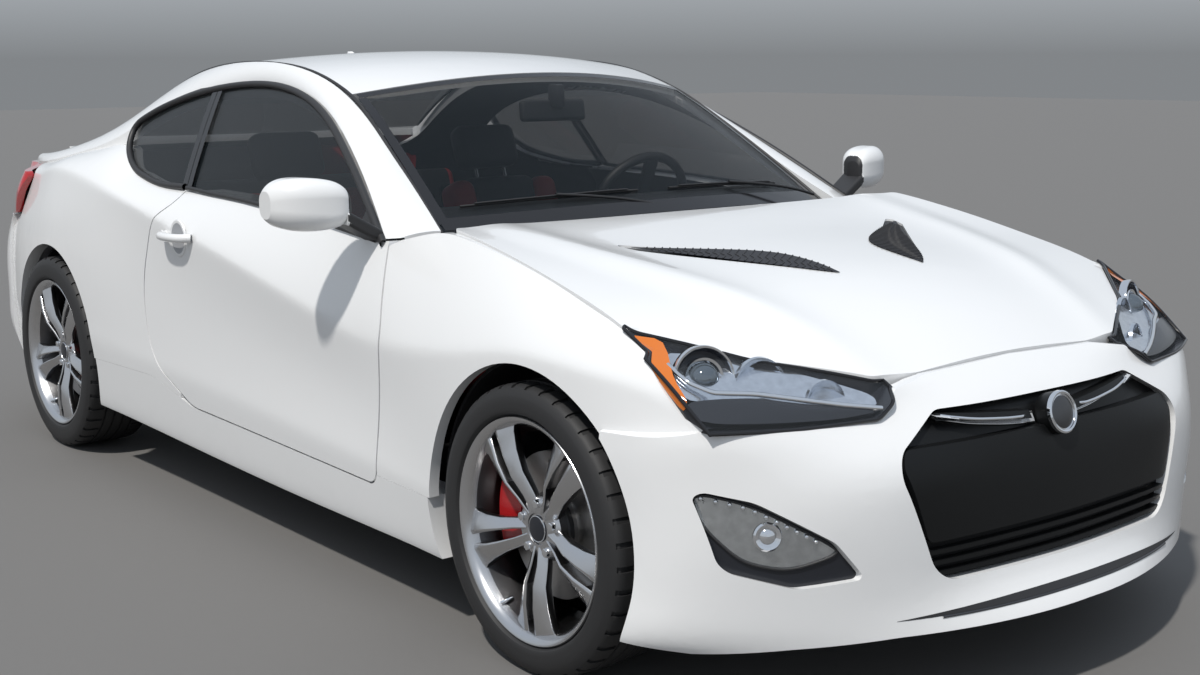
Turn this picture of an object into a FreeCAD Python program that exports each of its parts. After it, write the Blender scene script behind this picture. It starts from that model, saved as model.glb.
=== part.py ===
import FreeCAD
import Part
import math
import os
import re

from FreeCAD import Rotation, Vector

# Two-door coupe. Millimetres; X forward, Y to the car's left, Z up.
# Origin on the ground under the middle of the length.

doc = FreeCAD.newDocument("TwoDoorCoupe")

DIMENSIONS = (
    # name, value, meaning
    ("overall_length", 4630, "nose to tail"),
    ("overall_width", 1865, "body without mirrors"),
    ("overall_height", 1385, "ground to roof"),
    ("wheelbase", 2820, "axle to axle"),
    ("front_overhang", 840, "front axle to nose"),
    ("track_front", 1603, "between tyre centres"),
    ("track_rear", 1612, "between tyre centres"),
    ("tyre_radius_front", 331, ""),
    ("tyre_radius_rear", 339, ""),
    ("tyre_width_front", 225, ""),
    ("tyre_width_rear", 245, ""),
    ("rim_radius", 258, "outer edge of the rim lip"),
    ("rim_wall", 8, "thickness of the rim barrel"),
    ("spoke_count", 5, "double spokes"),
    ("spoke_width", 26, "one leg of a double spoke"),
    ("hub_radius", 72, ""),
    ("disc_radius", 168, "brake disc"),
    ("disc_thickness", 28, ""),
    ("arch_gap_front", 45, "tyre to arch"),
    ("arch_gap_rear", 45, "tyre to arch"),
    ("kingpin_y", 775, "steering axis from the middle plane"),
    ("skin", 28, "depth of hood, roof, fender and bumper walls"),
    ("wall", 45, "depth of side frame walls"),
    ("door_flange", 30, "door edge"),
    ("door_depth", 105, "whole door with its inner trim"),
    ("door_inset", 30, "inner door behind its edge"),
    ("glass", 5, "pane"),
    ("shut_gap", 5.5, "between a moving panel and its neighbour"),
    ("seam", 0.6, "between fixed panels"),
    ("floor_z", 165, "underside of the floor"),
    ("floor_depth", 40, ""),
    ("tunnel_width", 270, ""),
    ("tunnel_height", 190, ""),
    ("seat_width", 486, ""),
    ("seat_y", 395, "seat centre from the middle plane"),
    ("wheel_ring_radius", 185, "steering wheel"),
    ("wheel_ring_tube", 15, ""),
    ("exhaust_pipe_radius", 32, ""),
    ("tailpipe_radius", 46, ""),
    ("engine_length", 560, ""),
    ("engine_width", 520, ""),
    ("engine_height", 520, ""),
    ("arm_radius", 17, "suspension arms"),
    ("emblem_radius", 47, "plain disc on the grille"),
    ("upright_width", 32, "knuckle across the car"),
    ("upright_height", 216, ""),
    ("stub_radius", 30, "stub axle"),
    ("cushion_length", 520, "front seat"),
    ("cushion_depth", 128, ""),
    ("back_height", 655, ""),
    ("back_depth", 118, ""),
    ("head_rest_width", 280, ""),
    ("head_rest_height", 170, ""),
    ("rear_seat_width", 1200, ""),
    ("console_width", 210, ""),
    ("muffler_length", 250, ""),
    ("muffler_width", 660, ""),
    ("jack_pad_length", 70, "lifting points under the floor's edge"),
    ("jack_pad_width", 46, ""),
    ("liner", 8, "wheelhouse wall"),
)

sheet = doc.addObject("Spreadsheet::Sheet", "Dimensions")
for line, (name, value, meaning) in enumerate(DIMENSIONS, 1):
    sheet.set("A%d" % line, name)
    sheet.set("B%d" % line, str(value))
    sheet.set("C%d" % line, meaning)
    sheet.setAlias("B%d" % line, name)
doc.recompute()


def size(name):
    return float(getattr(sheet, name))


skin = size("skin")
wall = size("wall")
glass = size("glass")
shut_gap = size("shut_gap")
seam = size("seam")
front_axle = size("overall_length") / 2 - size("front_overhang")
rear_axle = front_axle - size("wheelbase")
rear_overhang = size("overall_length") - size("front_overhang") - size("wheelbase")
arch_front = size("tyre_radius_front") + size("arch_gap_front")
arch_rear = size("tyre_radius_rear") + size("arch_gap_rear")

# The tables below are drawn at these sizes, with stations counted from the front axle.
DRAWN = {"front": 840.0, "base": 2820.0, "rear": 970.0, "width": 1865.0, "height": 1385.0}


def along(a):
    if a > 0:
        return front_axle + a * size("front_overhang") / DRAWN["front"]
    if a > -DRAWN["base"]:
        return front_axle + a * size("wheelbase") / DRAWN["base"]
    return rear_axle + (a + DRAWN["base"]) * rear_overhang / DRAWN["rear"]


def across(y):
    return y * size("overall_width") / DRAWN["width"]


def up(z):
    return z * size("overall_height") / DRAWN["height"]


def place(a, y, z):
    return Vector(along(a), across(y), up(z))


# Body side, from the front to the rear. Each row: station, then height and half width
# of the sill edge, the low crease, the high crease and the belt; waist_y lies halfway
# between the creases.
SIDE_COLUMNS = ("a", "sill_z", "sill_y", "low_z", "low_y", "waist_y",
                "crease_z", "crease_y", "belt_z", "belt_y")
SIDE = (
    (520, 170, 812, 400, 828, 832, 640, 812, 700, 745),
    (380, 168, 862, 400, 884, 884, 700, 862, 780, 800),
    (200, 165, 895, 390, 914, 915, 725, 905, 820, 826),
    (0, 170, 903, 370, 922, 925, 735, 913, 874, 812),
    (-250, 178, 898, 352, 918, 918, 700, 912, 926, 808),
    (-480, 180, 890, 360, 908, 903, 675, 908, 955, 812),
    (-640, 178, 888, 368, 905, 896, 672, 906, 905, 850),
    (-1000, 176, 886, 385, 905, 893, 727, 908, 933, 832),
    (-1500, 182, 887, 410, 906, 895, 815, 906, 960, 818),
    (-2000, 195, 892, 434, 912, 906, 890, 900, 966, 815),
    (-2314, 205, 900, 450, 922, 922, 938, 894, 1003, 797),
    (-2470, 207, 905, 460, 927, 928, 962, 890, 1086, 748),
    (-2640, 218, 907, 470, 929, 931, 982, 884, 1058, 772),
    (-2820, 230, 908, 480, 930, 932, 990, 874, 1036, 786),
    (-3070, 240, 895, 490, 918, 920, 952, 850, 992, 800),
    (-3300, 245, 862, 500, 885, 886, 940, 815, 975, 762),
    (-3470, 250, 815, 500, 842, 842, 930, 765, 970, 715),
)

# Pillars and roof rail: the window line and the edge beside the glass and the roof.
PILLAR_COLUMNS = ("win_a", "win_z", "win_y", "rail_a", "rail_z", "rail_y")
PILLAR = (
    (-652, 906, 844, -612, 934, 712),
    (-836, 1021, 778, -780, 1018, 672),
    (-1010, 1116, 726, -940, 1108, 651),
    (-1215, 1213, 670, -1120, 1212, 621),
    (-1420, 1270, 638, -1330, 1298, 601),
    (-1640, 1294, 625, -1560, 1344, 598),
    (-1860, 1290, 627, -1800, 1356, 592),
    (-2080, 1266, 642, -2050, 1346, 584),
    (-2280, 1222, 665, -2290, 1316, 573),
    (-2450, 1155, 702, -2500, 1254, 583),
    (-2590, 1086, 752, -2690, 1172, 614),
    (-2760, 1050, 778, -2850, 1104, 652),
    (-2930, 1022, 788, -2990, 1064, 684),
    (-3100, 996, 794, -3130, 1034, 706),
    (-3270, 984, 766, -3280, 1014, 712),
    (-3430, 980, 722, -3420, 1006, 688),
)

# Windshield, roof and rear window: curves across the car, middle point and edge point.
TOP_COLUMNS = ("row", "mid_a", "mid_z", "edge_a", "edge_z", "edge_y")
TOP = (
    (0, -500, 945, -640, 924, 690),
    (1, -800, 1142, -925, 1100, 648),
    (2, -1120, 1318, -1225, 1262, 600),
    (3, -1420, 1370, -1480, 1332, 592),
    (4, -1750, 1385, -1780, 1352, 590),
    (5, -2050, 1376, -2080, 1342, 578),
    (6, -2300, 1345, -2340, 1305, 566),
    (7, -2620, 1222, -2620, 1200, 592),
    (8, -2930, 1082, -2860, 1092, 640),
)
HEADER, REAR_HEADER, GLASS_FOOT, BACK_FOOT = 2, 6, 0, 8

# Hood and front edge: height in the middle and at the fender line.
HOOD_COLUMNS = ("a", "mid_z", "edge_z")
HOOD = (
    (-520, 952, 968),
    (-450, 949, 962),
    (-200, 918, 920),
    (0, 896, 876),
    (220, 862, 820),
    (400, 808, 742),
    (500, 762, 690),
    (585, 712, 640),
    (640, 676, 600),
)
HOOD_EDGE_Y = 820.0
CREASE_REACH = 12

# Deck: height in the middle and at its side, behind the rear window.
DECK_COLUMNS = ("a", "mid_z", "edge_z")
DECK = (
    (-2850, 1100, 1085),
    (-2960, 1076, 1062),
    (-3150, 1050, 1022),
    (-3400, 1030, 998),
    (-3600, 1022, 985),
    (-3740, 1024, 982),
)
DECK_EDGE_Y = 680.0

# Front bumper: plan curves from the middle round to the wheel arch, one per height.
# Each pair of columns is a station and a half width.
NOSE_Y = (0, 240, 480, 700)
NOSE_COLUMNS = ("z", "mid", "inner", "knee", "cheek", "corner_a", "corner_y", "flank_a", "flank_y")
NOSE = (
    (165, 818, 797, 722, 600, 490, 815, 380, 890),
    (205, 834, 808, 733, 612, 500, 832, 395, 905),
    (270, 792, 776, 727, 618, 505, 836, 395, 903),
    (360, 770, 760, 727, 625, 510, 835, 395, 898),
    (460, 760, 752, 725, 628, 512, 832, 395, 894),
    (550, 742, 734, 705, 615, 508, 830, 395, 892),
    (620, 708, 698, 652, 592, 504, 826, 395, 886),
    (670, 655, 648, 615, 560, 490, 812, 390, 876),
    (712, 588, 582, 560, 520, 470, 790, 380, 862),
)
NOSE_END = (270, 918)

# Rear bumper and trunk face, drawn the same way with stations behind the front axle.
TAIL_COLUMNS = NOSE_COLUMNS
TAIL = (
    (230, -3690, -3684, -3655, -3560, -3440, 800, -3300, 868),
    (330, -3740, -3733, -3700, -3600, -3470, 822, -3300, 882),
    (470, -3778, -3770, -3735, -3625, -3485, 832, -3300, 888),
    (600, -3790, -3782, -3745, -3630, -3485, 832, -3300, 888),
    (700, -3775, -3767, -3728, -3612, -3475, 824, -3300, 884),
    (760, -3742, -3735, -3700, -3592, -3465, 812, -3300, 876),
    (880, -3720, -3712, -3678, -3565, -3455, 775, -3300, 842),
    (980, -3738, -3728, -3680, -3540, -3450, 715, -3300, 764),
    (1022, -3745, -3732, -3676, -3530, -3440, 690, -3300, 735),
)
TAIL_END = (-3130, 922)


def table_value(rows, columns, name, at):
    """Smooth value of one column at a station: cubic through the rows, no overshoot."""
    x = [row[0] for row in rows]
    y = [row[columns.index(name)] for row in rows]
    if x[0] > x[-1]:
        x.reverse()
        y.reverse()
    at = min(max(at, x[0]), x[-1])
    i = 0
    while i < len(x) - 2 and at > x[i + 1]:
        i += 1
    slope = [(y[k + 1] - y[k]) / (x[k + 1] - x[k]) for k in range(len(x) - 1)]

    def tangent(k):
        if k == 0:
            return slope[0]
        if k == len(x) - 1:
            return slope[-1]
        if slope[k - 1] * slope[k] <= 0:
            return 0.0
        return 2 * slope[k - 1] * slope[k] / (slope[k - 1] + slope[k])

    step = x[i + 1] - x[i]
    t = (at - x[i]) / step
    return ((2 * t ** 3 - 3 * t ** 2 + 1) * y[i] + (t ** 3 - 2 * t ** 2 + t) * step * tangent(i)
            + (3 * t ** 2 - 2 * t ** 3) * y[i + 1] + (t ** 3 - t ** 2) * step * tangent(i + 1))


def side_value(name, a):
    return table_value(SIDE, SIDE_COLUMNS, name, a)


def side_section(a):
    """Poles of the body side at one station, sill to belt, close together at the creases."""
    v = {name: side_value(name, a) for name in SIDE_COLUMNS[1:]}
    mid_z = (v["low_z"] + v["crease_z"]) / 2
    return [
        place(a, v["sill_y"], v["sill_z"]),
        place(a, v["sill_y"] + 6, v["sill_z"] + CREASE_REACH),
        place(a, (v["sill_y"] + v["low_y"]) / 2 + 4, (v["sill_z"] + v["low_z"]) / 2),
        place(a, v["low_y"] + 3, v["low_z"] - CREASE_REACH),
        place(a, v["low_y"], v["low_z"] + CREASE_REACH),
        place(a, v["waist_y"], mid_z),
        place(a, v["crease_y"] + 1, v["crease_z"] - CREASE_REACH),
        place(a, v["crease_y"], v["crease_z"] + 4),
        place(a, 0.55 * v["crease_y"] + 0.45 * v["belt_y"] + 7, 0.55 * v["crease_z"] + 0.45 * v["belt_z"] + 7),
        place(a, 0.15 * v["crease_y"] + 0.85 * v["belt_y"] + 3, 0.15 * v["crease_z"] + 0.85 * v["belt_z"] + 3),
        place(a, v["belt_y"], v["belt_z"]),
    ]


def glass_section(a):
    """Points of the side glass, from below the belt up to the roof rail."""
    return [place(a, 835 - 0.56 * (z - 930) + 10 * math.sin(math.pi * (z - 880) / 440), z)
            for z in (860, 970, 1080, 1190, 1320)]


def knots(count):
    """Knots and multiplicities of a cubic that starts at its first pole and ends at its last."""
    spans = count - 3
    return [float(i) for i in range(spans + 1)], [4] + [1] * (spans - 1) + [4]


def surface(rows):
    """Smooth sheet through the rows."""
    patch = Part.BSplineSurface()
    patch.interpolate(rows)
    return patch.toShape()


def net(rows):
    """Smooth sheet shaped by rows of poles, which it never overshoots."""
    across_knots, across_mults = knots(len(rows[0]))
    along_knots, along_mults = knots(len(rows))
    patch = Part.BSplineSurface()
    patch.buildFromPolesMultsKnots(rows, along_mults, across_mults, along_knots, across_knots, False, False, 3, 3)
    return patch.toShape()


def outward(solid):
    """The solid with its faces turned outwards."""
    if solid.Volume < 0:
        solid.reverse()
    return solid


def plate(rows, depth, sheet_of=net):
    """A curved wall: the sheet over the rows, extruded by a vector."""
    return outward(sheet_of(rows).extrude(depth))


def wrapped_wall(outer, inner):
    """A wall between two surfaces drawn on the same rows."""
    faces = [surface(outer), surface(inner)]
    for near, far in zip(border_edges(faces[0]), border_edges(faces[1])):
        faces.append(Part.makeRuledSurface(near, far))
    shell = Part.makeShell(faces)
    shell.sewShape()
    return outward(Part.makeSolid(Part.Shell(shell.Faces)))


def border_edges(face):
    patch = face.Surface
    u0, u1, v0, v1 = patch.bounds()
    return [patch.uIso(u0).toShape(), patch.uIso(u1).toShape(),
            patch.vIso(v0).toShape(), patch.vIso(v1).toShape()]


def rounded_wire(corners):
    """Closed wire through (point, radius) corners, each rounded by a tangent arc."""
    count = len(corners)
    entry, leave, middle = [], [], []
    for i, (point, radius) in enumerate(corners):
        before = corners[i - 1][0] - point
        after = corners[(i + 1) % count][0] - point
        half = before.getAngle(after) / 2
        run = 0.0 if radius == 0 else min(radius / math.tan(half), 0.45 * min(before.Length, after.Length))
        before.normalize()
        after.normalize()
        entry.append(point + before * run)
        leave.append(point + after * run)
        if run > 0:
            true_radius = run * math.tan(half)
            axis = (before + after).normalize()
            middle.append(point + axis * (true_radius / math.sin(half) - true_radius))
        else:
            middle.append(None)
    edges = []
    for i in range(count):
        if middle[i] is not None:
            edges.append(Part.Arc(entry[i], middle[i], leave[i]).toShape())
        start, end = leave[i], entry[(i + 1) % count]
        if start.distanceToPoint(end) > 0.01:
            edges.append(Part.LineSegment(start, end).toShape())
    return Part.Wire(edges)


def side_outline(points, grow=0.0):
    """Outline in side view from (station, height, radius), moved out by grow."""
    wire = rounded_wire([(Vector(along(a), 0, up(z)), r) for a, z, r in points])
    if grow:
        wire = wire.makeOffset2D(grow, 2)
    return wire


def side_prism(points, y_from, y_to, grow=0.0):
    face = Part.Face(side_outline(points, grow))
    face.translate(Vector(0, y_from, 0))
    return outward(face.extrude(Vector(0, y_to - y_from, 0)))


def plan_prism(points, z_from, z_to, grow=0.0):
    """Prism over an outline in plan: (station, half width, radius)."""
    wire = rounded_wire([(Vector(along(a), across(y), 0), r) for a, y, r in points])
    if grow:
        wire = wire.makeOffset2D(grow, 2)
    face = Part.Face(wire)
    face.translate(Vector(0, 0, z_from))
    return outward(face.extrude(Vector(0, 0, z_to - z_from)))


def front_prism(points, x_from, x_to, grow=0.0):
    """Prism over an outline seen from the front: (half width, height, radius)."""
    wire = rounded_wire([(Vector(0, across(y), up(z)), r) for y, z, r in points])
    if grow:
        wire = wire.makeOffset2D(grow, 2)
    face = Part.Face(wire)
    face.translate(Vector(x_from, 0, 0))
    return outward(face.extrude(Vector(x_to - x_from, 0, 0)))


def mirrored(shape):
    return shape.mirror(Vector(0, 0, 0), Vector(0, 1, 0))


def cylinder_y(x, z, radius, y_from, y_to):
    return Part.makeCylinder(radius, y_to - y_from, Vector(x, y_from, z), Vector(0, 1, 0))


def box(x0, x1, y0, y1, z0, z1):
    return Part.makeBox(x1 - x0, y1 - y0, z1 - z0, Vector(x0, y0, z0))


pieces = {}


def piece(name, shape):
    """Keeps a finished shape as an object of the document."""
    feature = doc.addObject("Part::Feature", name)
    feature.Shape = shape
    feature.Label = name
    pieces[name] = feature
    return shape


def pair(name, shape):
    """Left and right solids that share one node."""
    return piece(name, Part.makeCompound([shape, mirrored(shape)]))


wide = size("overall_width")
high = size("overall_height")
LINER = size("liner")
front_arch_cut = cylinder_y(front_axle, size("tyre_radius_front"), arch_front, 0, wide)
rear_arch_cut = cylinder_y(rear_axle, size("tyre_radius_rear"), arch_rear, 0, wide)

# Shut lines, in side view. The door's top edge is the belt itself.
DOOR = (
    (-645, 1020, 0),
    (-643, 900, 0),
    (-604, 690, 300),
    (-628, 430, 300),
    (-636, 306, 40),
    (-1710, 326, 200),
    (-1985, 440, 260),
    (-2035, 660, 380),
    (-1960, 860, 160),
    (-1872, 930, 60),
    (-1862, 1020, 0),
)
WINDOWS = (
    (-652, 890, 0),
    (-655, 908, 30),
    (-836, 1021, 0),
    (-998, 1110, 500),
    (-1215, 1213, 700),
    (-1440, 1275, 900),
    (-1700, 1298, 900),
    (-2016, 1275, 1200),
    (-2273, 1224, 1200),
    (-2468, 1150, 22),
    (-2435, 1066, 60),
    (-2314, 1001, 200),
    (-2037, 966, 300),
    (-1880, 972, 0),
    (-1870, 880, 0),
)
SKIRT_TOP = (
    (-300, 328, 0),
    (-690, 332, 0),
    (-1710, 322, 200),
    (-1985, 380, 260),
    (-2470, 372, 0),
    (-2470, 100, 0),
    (-300, 100, 0),
)
FENDER = (
    (-640, 320, 0),
    (-622, 430, 300),
    (-597, 690, 300),
    (-636, 905, 0),
    (-478, 968, 0),
    (-478, 1040, 0),
    (246, 1040, 0),
    (246, 815, 20),
    (330, 770, 60),
    (452, 655, 0),
    (500, 640, 0),
    (445, 584, 30),
    (330, 566, 0),
    (330, 320, 0),
)


def span(first, last, count):
    return [first + (last - first) * i / (count - 1) for i in range(count)]


# Hood: a crown with a ridge each side that runs in towards the nose
HOOD_RIDGE = (
    (-520, 660, 3),
    (-200, 600, 9),
    (0, 560, 11),
    (220, 505, 11),
    (400, 455, 8),
    (640, 400, 3),
)


def hood_point(a, y, lift=0.0):
    mid_z, edge_z = [table_value(HOOD, HOOD_COLUMNS, name, a) for name in HOOD_COLUMNS[1:]]
    return place(a, y, mid_z - (mid_z - edge_z) * abs(y / HOOD_EDGE_Y) ** 2.2 + lift)


def hood_section(a, drop=0.0):
    """Poles across the hood at one station."""
    ridge_y = table_value(HOOD_RIDGE, ("a", "y", "lift"), "y", a)
    lift = table_value(HOOD_RIDGE, ("a", "y", "lift"), "lift", a)
    half = [(0, 4), (0.4 * ridge_y, 2), (ridge_y - 95, -0.4 * lift), (ridge_y - 22, lift), (ridge_y + 22, lift),
            (ridge_y + 100, -0.3 * lift), (0.5 * ridge_y + 0.5 * HOOD_EDGE_Y + 30, 0), (HOOD_EDGE_Y + 30, 0)]
    points = [hood_point(a, -y, rise - drop) for y, rise in reversed(half[1:])]
    return points + [hood_point(a, y, rise - drop) for y, rise in half]


HOOD_PLAN = (
    (588, 0, 0),
    (586, 300, 100),
    (572, 425, 60),
    (440, 640, 300),
    (262, 822, 60),
    (0, 806, 400),
    (-440, 786, 20),
    (-462, 500, 300),
    (-450, 0, 0),
)
hood_rows = [hood_section(a) for a in span(-520, 640, 19)]
hood_plan = HOOD_PLAN[1:-1]
hood_outline = [p for p in hood_plan] + [(p[0], -p[1], p[2]) for p in reversed(hood_plan)]
hood = plate(hood_rows, Vector(0, 0, -skin)).common(plan_prism(hood_outline, 0, high))
VENT = (
    (215, 158, 10),
    (-60, 300, 20),
    (-215, 500, 20),
    (-130, 470, 20),
)
for vent_side in (1, -1):
    vent_hole = plan_prism([(a, vent_side * y, r) for a, y, r in VENT], 0, high)
    hood = hood.cut(vent_hole)
piece("hood", hood)
vent_rows = [hood_section(a, 6) for a in span(-260, 260, 5)]
vent = plate(vent_rows, Vector(0, 0, -12)).common(plan_prism(VENT, 0, high, -0.3))
pair("hood_vents", vent)
hood_room = plate(hood_rows, Vector(0, 0, -skin - shut_gap)).common(plan_prism(hood_outline, 0, high, shut_gap))


# Doors
door_blank = [side_section(a) for a in span(-570, -2080, 14)]
door_edge = plate(door_blank, Vector(0, -size("door_flange"), 0)).common(side_prism(DOOR, 0, wide))
door_inner = plate(door_blank, Vector(0, -size("door_depth"), 0))
door_inner = door_inner.common(side_prism(DOOR, 0, wide, -size("door_inset")))
door = door_edge.fuse(door_inner)
piece("door_left", door)
piece("door_right", mirrored(door))
door_room = plate(door_blank, Vector(0, -size("door_depth") - shut_gap, 0))
door_room = door_room.common(side_prism(DOOR, 0, wide, shut_gap))
above_door = door_room.copy()
above_door.translate(Vector(0, 0, shut_gap))

# Front fenders
fender_blank = plate([side_section(a) for a in span(-665, 520, 13)], Vector(0, -skin, 0))
fender = fender_blank.common(side_prism(FENDER, 0, wide)).cut(front_arch_cut)
fender = fender.cut(side_prism(DOOR, 0, wide, shut_gap)).cut(hood_room).cut(side_prism(SKIRT_TOP, 0, wide))
pair("front_fenders", max(fender.Solids, key=lambda solid: solid.Volume))
fender_room = plate([side_section(a) for a in span(-665, 520, 13)],
                    Vector(0, -skin - seam, 0)).common(side_prism(FENDER, 0, wide, seam))

# Rear quarters, from the door's edge to the tail lamp
TAIL_EDGE = (
    (-3320, 200, 0),
    (-3320, 740, 0),
    (-3205, 800, 30),
    (-3120, 962, 30),
    (-3460, 1100, 0),
    (-3700, 1100, 0),
    (-3700, 200, 0),
)
quarter = plate([side_section(a) for a in span(-1790, -3470, 17)], Vector(0, -wall, 0))
quarter = quarter.cut(side_prism(DOOR, 0, wide, shut_gap)).cut(side_prism(SKIRT_TOP, 0, wide))
quarter = quarter.cut(side_prism(WINDOWS, 0, wide)).cut(rear_arch_cut).cut(side_prism(TAIL_EDGE, 0, wide))
quarter = max(quarter.Solids, key=lambda solid: solid.Volume)
pair("rear_quarters", quarter)

# Side skirts under the doors, arch to arch
skirt = plate([side_section(a) for a in span(-280, -2500, 14)], Vector(0, -size("door_depth"), 0))
skirt = skirt.common(side_prism(SKIRT_TOP, 0, wide, -seam)).cut(side_prism(DOOR, 0, wide, shut_gap))
for x, z, arch in ((front_axle, size("tyre_radius_front"), arch_front),
                   (rear_axle, size("tyre_radius_rear"), arch_rear)):
    skirt = skirt.cut(cylinder_y(x, z, arch + LINER + 1, 0, wide))
pair("side_skirts", max(skirt.Solids, key=lambda solid: solid.Volume))

# Tail lamp outline in side view
LAMP_SIDE = (
    (-3328, 792, 0),
    (-3212, 804, 20),
    (-3130, 956, 20),
    (-3330, 972, 0),
    (-3800, 972, 0),
    (-3800, 792, 0),
)

# Windshield pillars, roof rails and rear pillars
pillar_rows = []
for row in PILLAR:
    win = place(row[0], row[2], row[1])
    rail = place(row[3], row[5], row[4])
    pillar_rows.append([win, win * 0.7 + rail * 0.3 + Vector(0, 9, 12),
                        win * 0.3 + rail * 0.7 + Vector(0, 5, 11), rail])
pillar = plate(pillar_rows, Vector(0, 0, -wall)).cut(door_room).cut(above_door)
pillar = pillar.cut(side_prism(LAMP_SIDE, across(500), wide, seam))
for shift in (Vector(0, 0, 0), Vector(0, -seam, seam)):
    neighbour = quarter.copy()
    neighbour.translate(shift)
    pillar = pillar.cut(neighbour)
pair("roof_rails", max(pillar.Solids, key=lambda solid: solid.Volume))


def top_point(row, u, drop=0.0):
    mid_a, mid_z, edge_a, edge_z, edge_y = [table_value(TOP, TOP_COLUMNS, name, row)
                                            for name in TOP_COLUMNS[1:]]
    middle = place(mid_a + (edge_a - mid_a) * u * u, edge_y * u, mid_z + (edge_z - mid_z) * u * u)
    return middle - Vector(0, 0, drop)


def top_plate(row_from, row_to, count, depth, reach=1.0, lift=0.0):
    rows = [[top_point(row, u, -lift) for u in span(-reach, reach, 9)] for row in span(row_from, row_to, count)]
    return plate(rows, Vector(0, 0, -depth))


# Roof panel, windshield and rear window
roof = piece("roof_panel", top_plate(HEADER + 0.002, REAR_HEADER - 0.002, 9, skin))
windshield = piece("windshield", top_plate(GLASS_FOOT, HEADER, 7, glass + 1))
piece("rear_window", top_plate(REAR_HEADER, BACK_FOOT, 7, glass))

# Door glass and quarter windows lie just inside the window line
DOOR_GLASS = (
    (-690, 905, 0),
    (-836, 1003, 0),
    (-998, 1094, 500),
    (-1215, 1198, 700),
    (-1440, 1262, 900),
    (-1700, 1285, 900),
    (-1968, 1267, 0),
    (-1866, 975, 0),
    (-1870, 880, 0),
    (-690, 880, 0),
)
QUARTER_GLASS = (
    (-2026, 1400, 0),
    (-2600, 1400, 0),
    (-2600, 900, 0),
    (-1880, 900, 0),
    (-1880, 984, 0),
)
glass_rows = [glass_section(a) for a in span(-650, -2500, 5)]
pane = plate(glass_rows, Vector(0, -glass, 0))
pane.translate(Vector(0, -6, 0))
door_glass = pane.common(side_prism(DOOR_GLASS, 0, wide)).cut(door)
door_glass = max(door_glass.Solids, key=lambda solid: solid.Volume)
piece("door_glass_left", door_glass)
piece("door_glass_right", mirrored(door_glass))
quarter_window = pane.common(side_prism(QUARTER_GLASS, 0, wide)).common(side_prism(WINDOWS, 0, wide, 12))
quarter_window = quarter_window.cut(pillar).cut(quarter)
pair("quarter_windows", max(quarter_window.Solids, key=lambda solid: solid.Volume))


# Front bumper
def bumper_rows(table, columns, end, inward, knee_y):
    """Rows of a wrapped bumper from one side round to the other, moved inward."""
    rows = []
    for line in table:
        v = dict(zip(columns, line))
        half = [(v["mid"], 0), (v["inner"], knee_y[1]), (v["knee"], knee_y[2]), (v["cheek"], knee_y[3]),
                (v["corner_a"], v["corner_y"]), (v["flank_a"], v["flank_y"]),
                (end[0], end[1] - max(0, table[3][8] - v["flank_y"]))]
        plan = [Vector(along(a), -across(y), 0) for a, y in reversed(half)]
        plan += [Vector(along(a), across(y), 0) for a, y in half[1:]]
        row = []
        for i, point in enumerate(plan):
            run = plan[min(i + 1, len(plan) - 1)] - plan[max(i - 1, 0)]
            normal = Vector(-run.y, run.x, 0).normalize()
            if normal.dot(Vector(1 if v["mid"] > 0 else -1, 0, 0)) > 0:
                normal = -normal
            if abs(normal.x) < 0.2:
                normal = Vector(0, -math.copysign(1, point.y), 0)
            row.append(point + normal * inward + Vector(0, 0, up(v["z"])))
        rows.append(row)
    return rows


nose_outer = bumper_rows(NOSE, NOSE_COLUMNS, NOSE_END, 0, NOSE_Y)
nose_inner = bumper_rows(NOSE, NOSE_COLUMNS, NOSE_END, skin, NOSE_Y)
bumper = wrapped_wall(nose_outer, nose_inner)
GRILLE = (
    (0, 652, 0),
    (337, 640, 60),
    (498, 556, 60),
    (400, 300, 80),
    (0, 288, 0),
)
grille_outline = list(GRILLE[1:-1]) + [(-y, z, r) for y, z, r in reversed(GRILLE[1:-1])]
FOG = (
    (853, 520, 16),
    (764, 497, 80),
    (628, 410, 60),
    (566, 330, 10),
    (690, 316, 50),
    (815, 356, 50),
)
BUMPER_FOOT = (
    (0, 100, 0),
    (0, 206, 0),
    (495, 199, 300),
    (690, 187, 0),
    (835, 172, 0),
    (960, 184, 0),
    (960, 100, 0),
)
BUMPER_TOP = (
    (0, 900, 0),
    (0, 708, 0),
    (300, 700, 40),
    (405, 684, 20),
    (480, 636, 40),
    (650, 632, 60),
    (830, 634, 20),
    (960, 590, 0),
    (960, 900, 0),
)
bumper = bumper.cut(front_prism(grille_outline, along(500), along(900)))
for s in (1, -1):
    bumper = bumper.cut(front_prism([(s * y, z, r) for y, z, r in FOG], along(330), along(900)))
    bumper = bumper.cut(front_prism([(s * y, z, r) for y, z, r in BUMPER_TOP], along(200), along(900)))
    bumper = bumper.cut(front_prism([(s * y, z, r) for y, z, r in BUMPER_FOOT], along(100), along(1000)))
for s in (1, -1):
    room = fender_room if s > 0 else mirrored(fender_room)
    bumper = bumper.cut(room)
bumper = bumper.cut(hood_room)
bumper = bumper.cut(cylinder_y(front_axle, size("tyre_radius_front"), arch_front, -wide, wide))
piece("front_bumper", max(bumper.Solids, key=lambda solid: solid.Volume))

# Fog lamps sit in the bumper's recesses
fog = wrapped_wall(bumper_rows(NOSE, NOSE_COLUMNS, NOSE_END, 14, NOSE_Y),
                   bumper_rows(NOSE, NOSE_COLUMNS, NOSE_END, 26, NOSE_Y))
fog = fog.common(front_prism(FOG, along(330), along(900), -0.3))
pair("fog_lamps", max(fog.Solids, key=lambda solid: solid.Volume))


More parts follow.
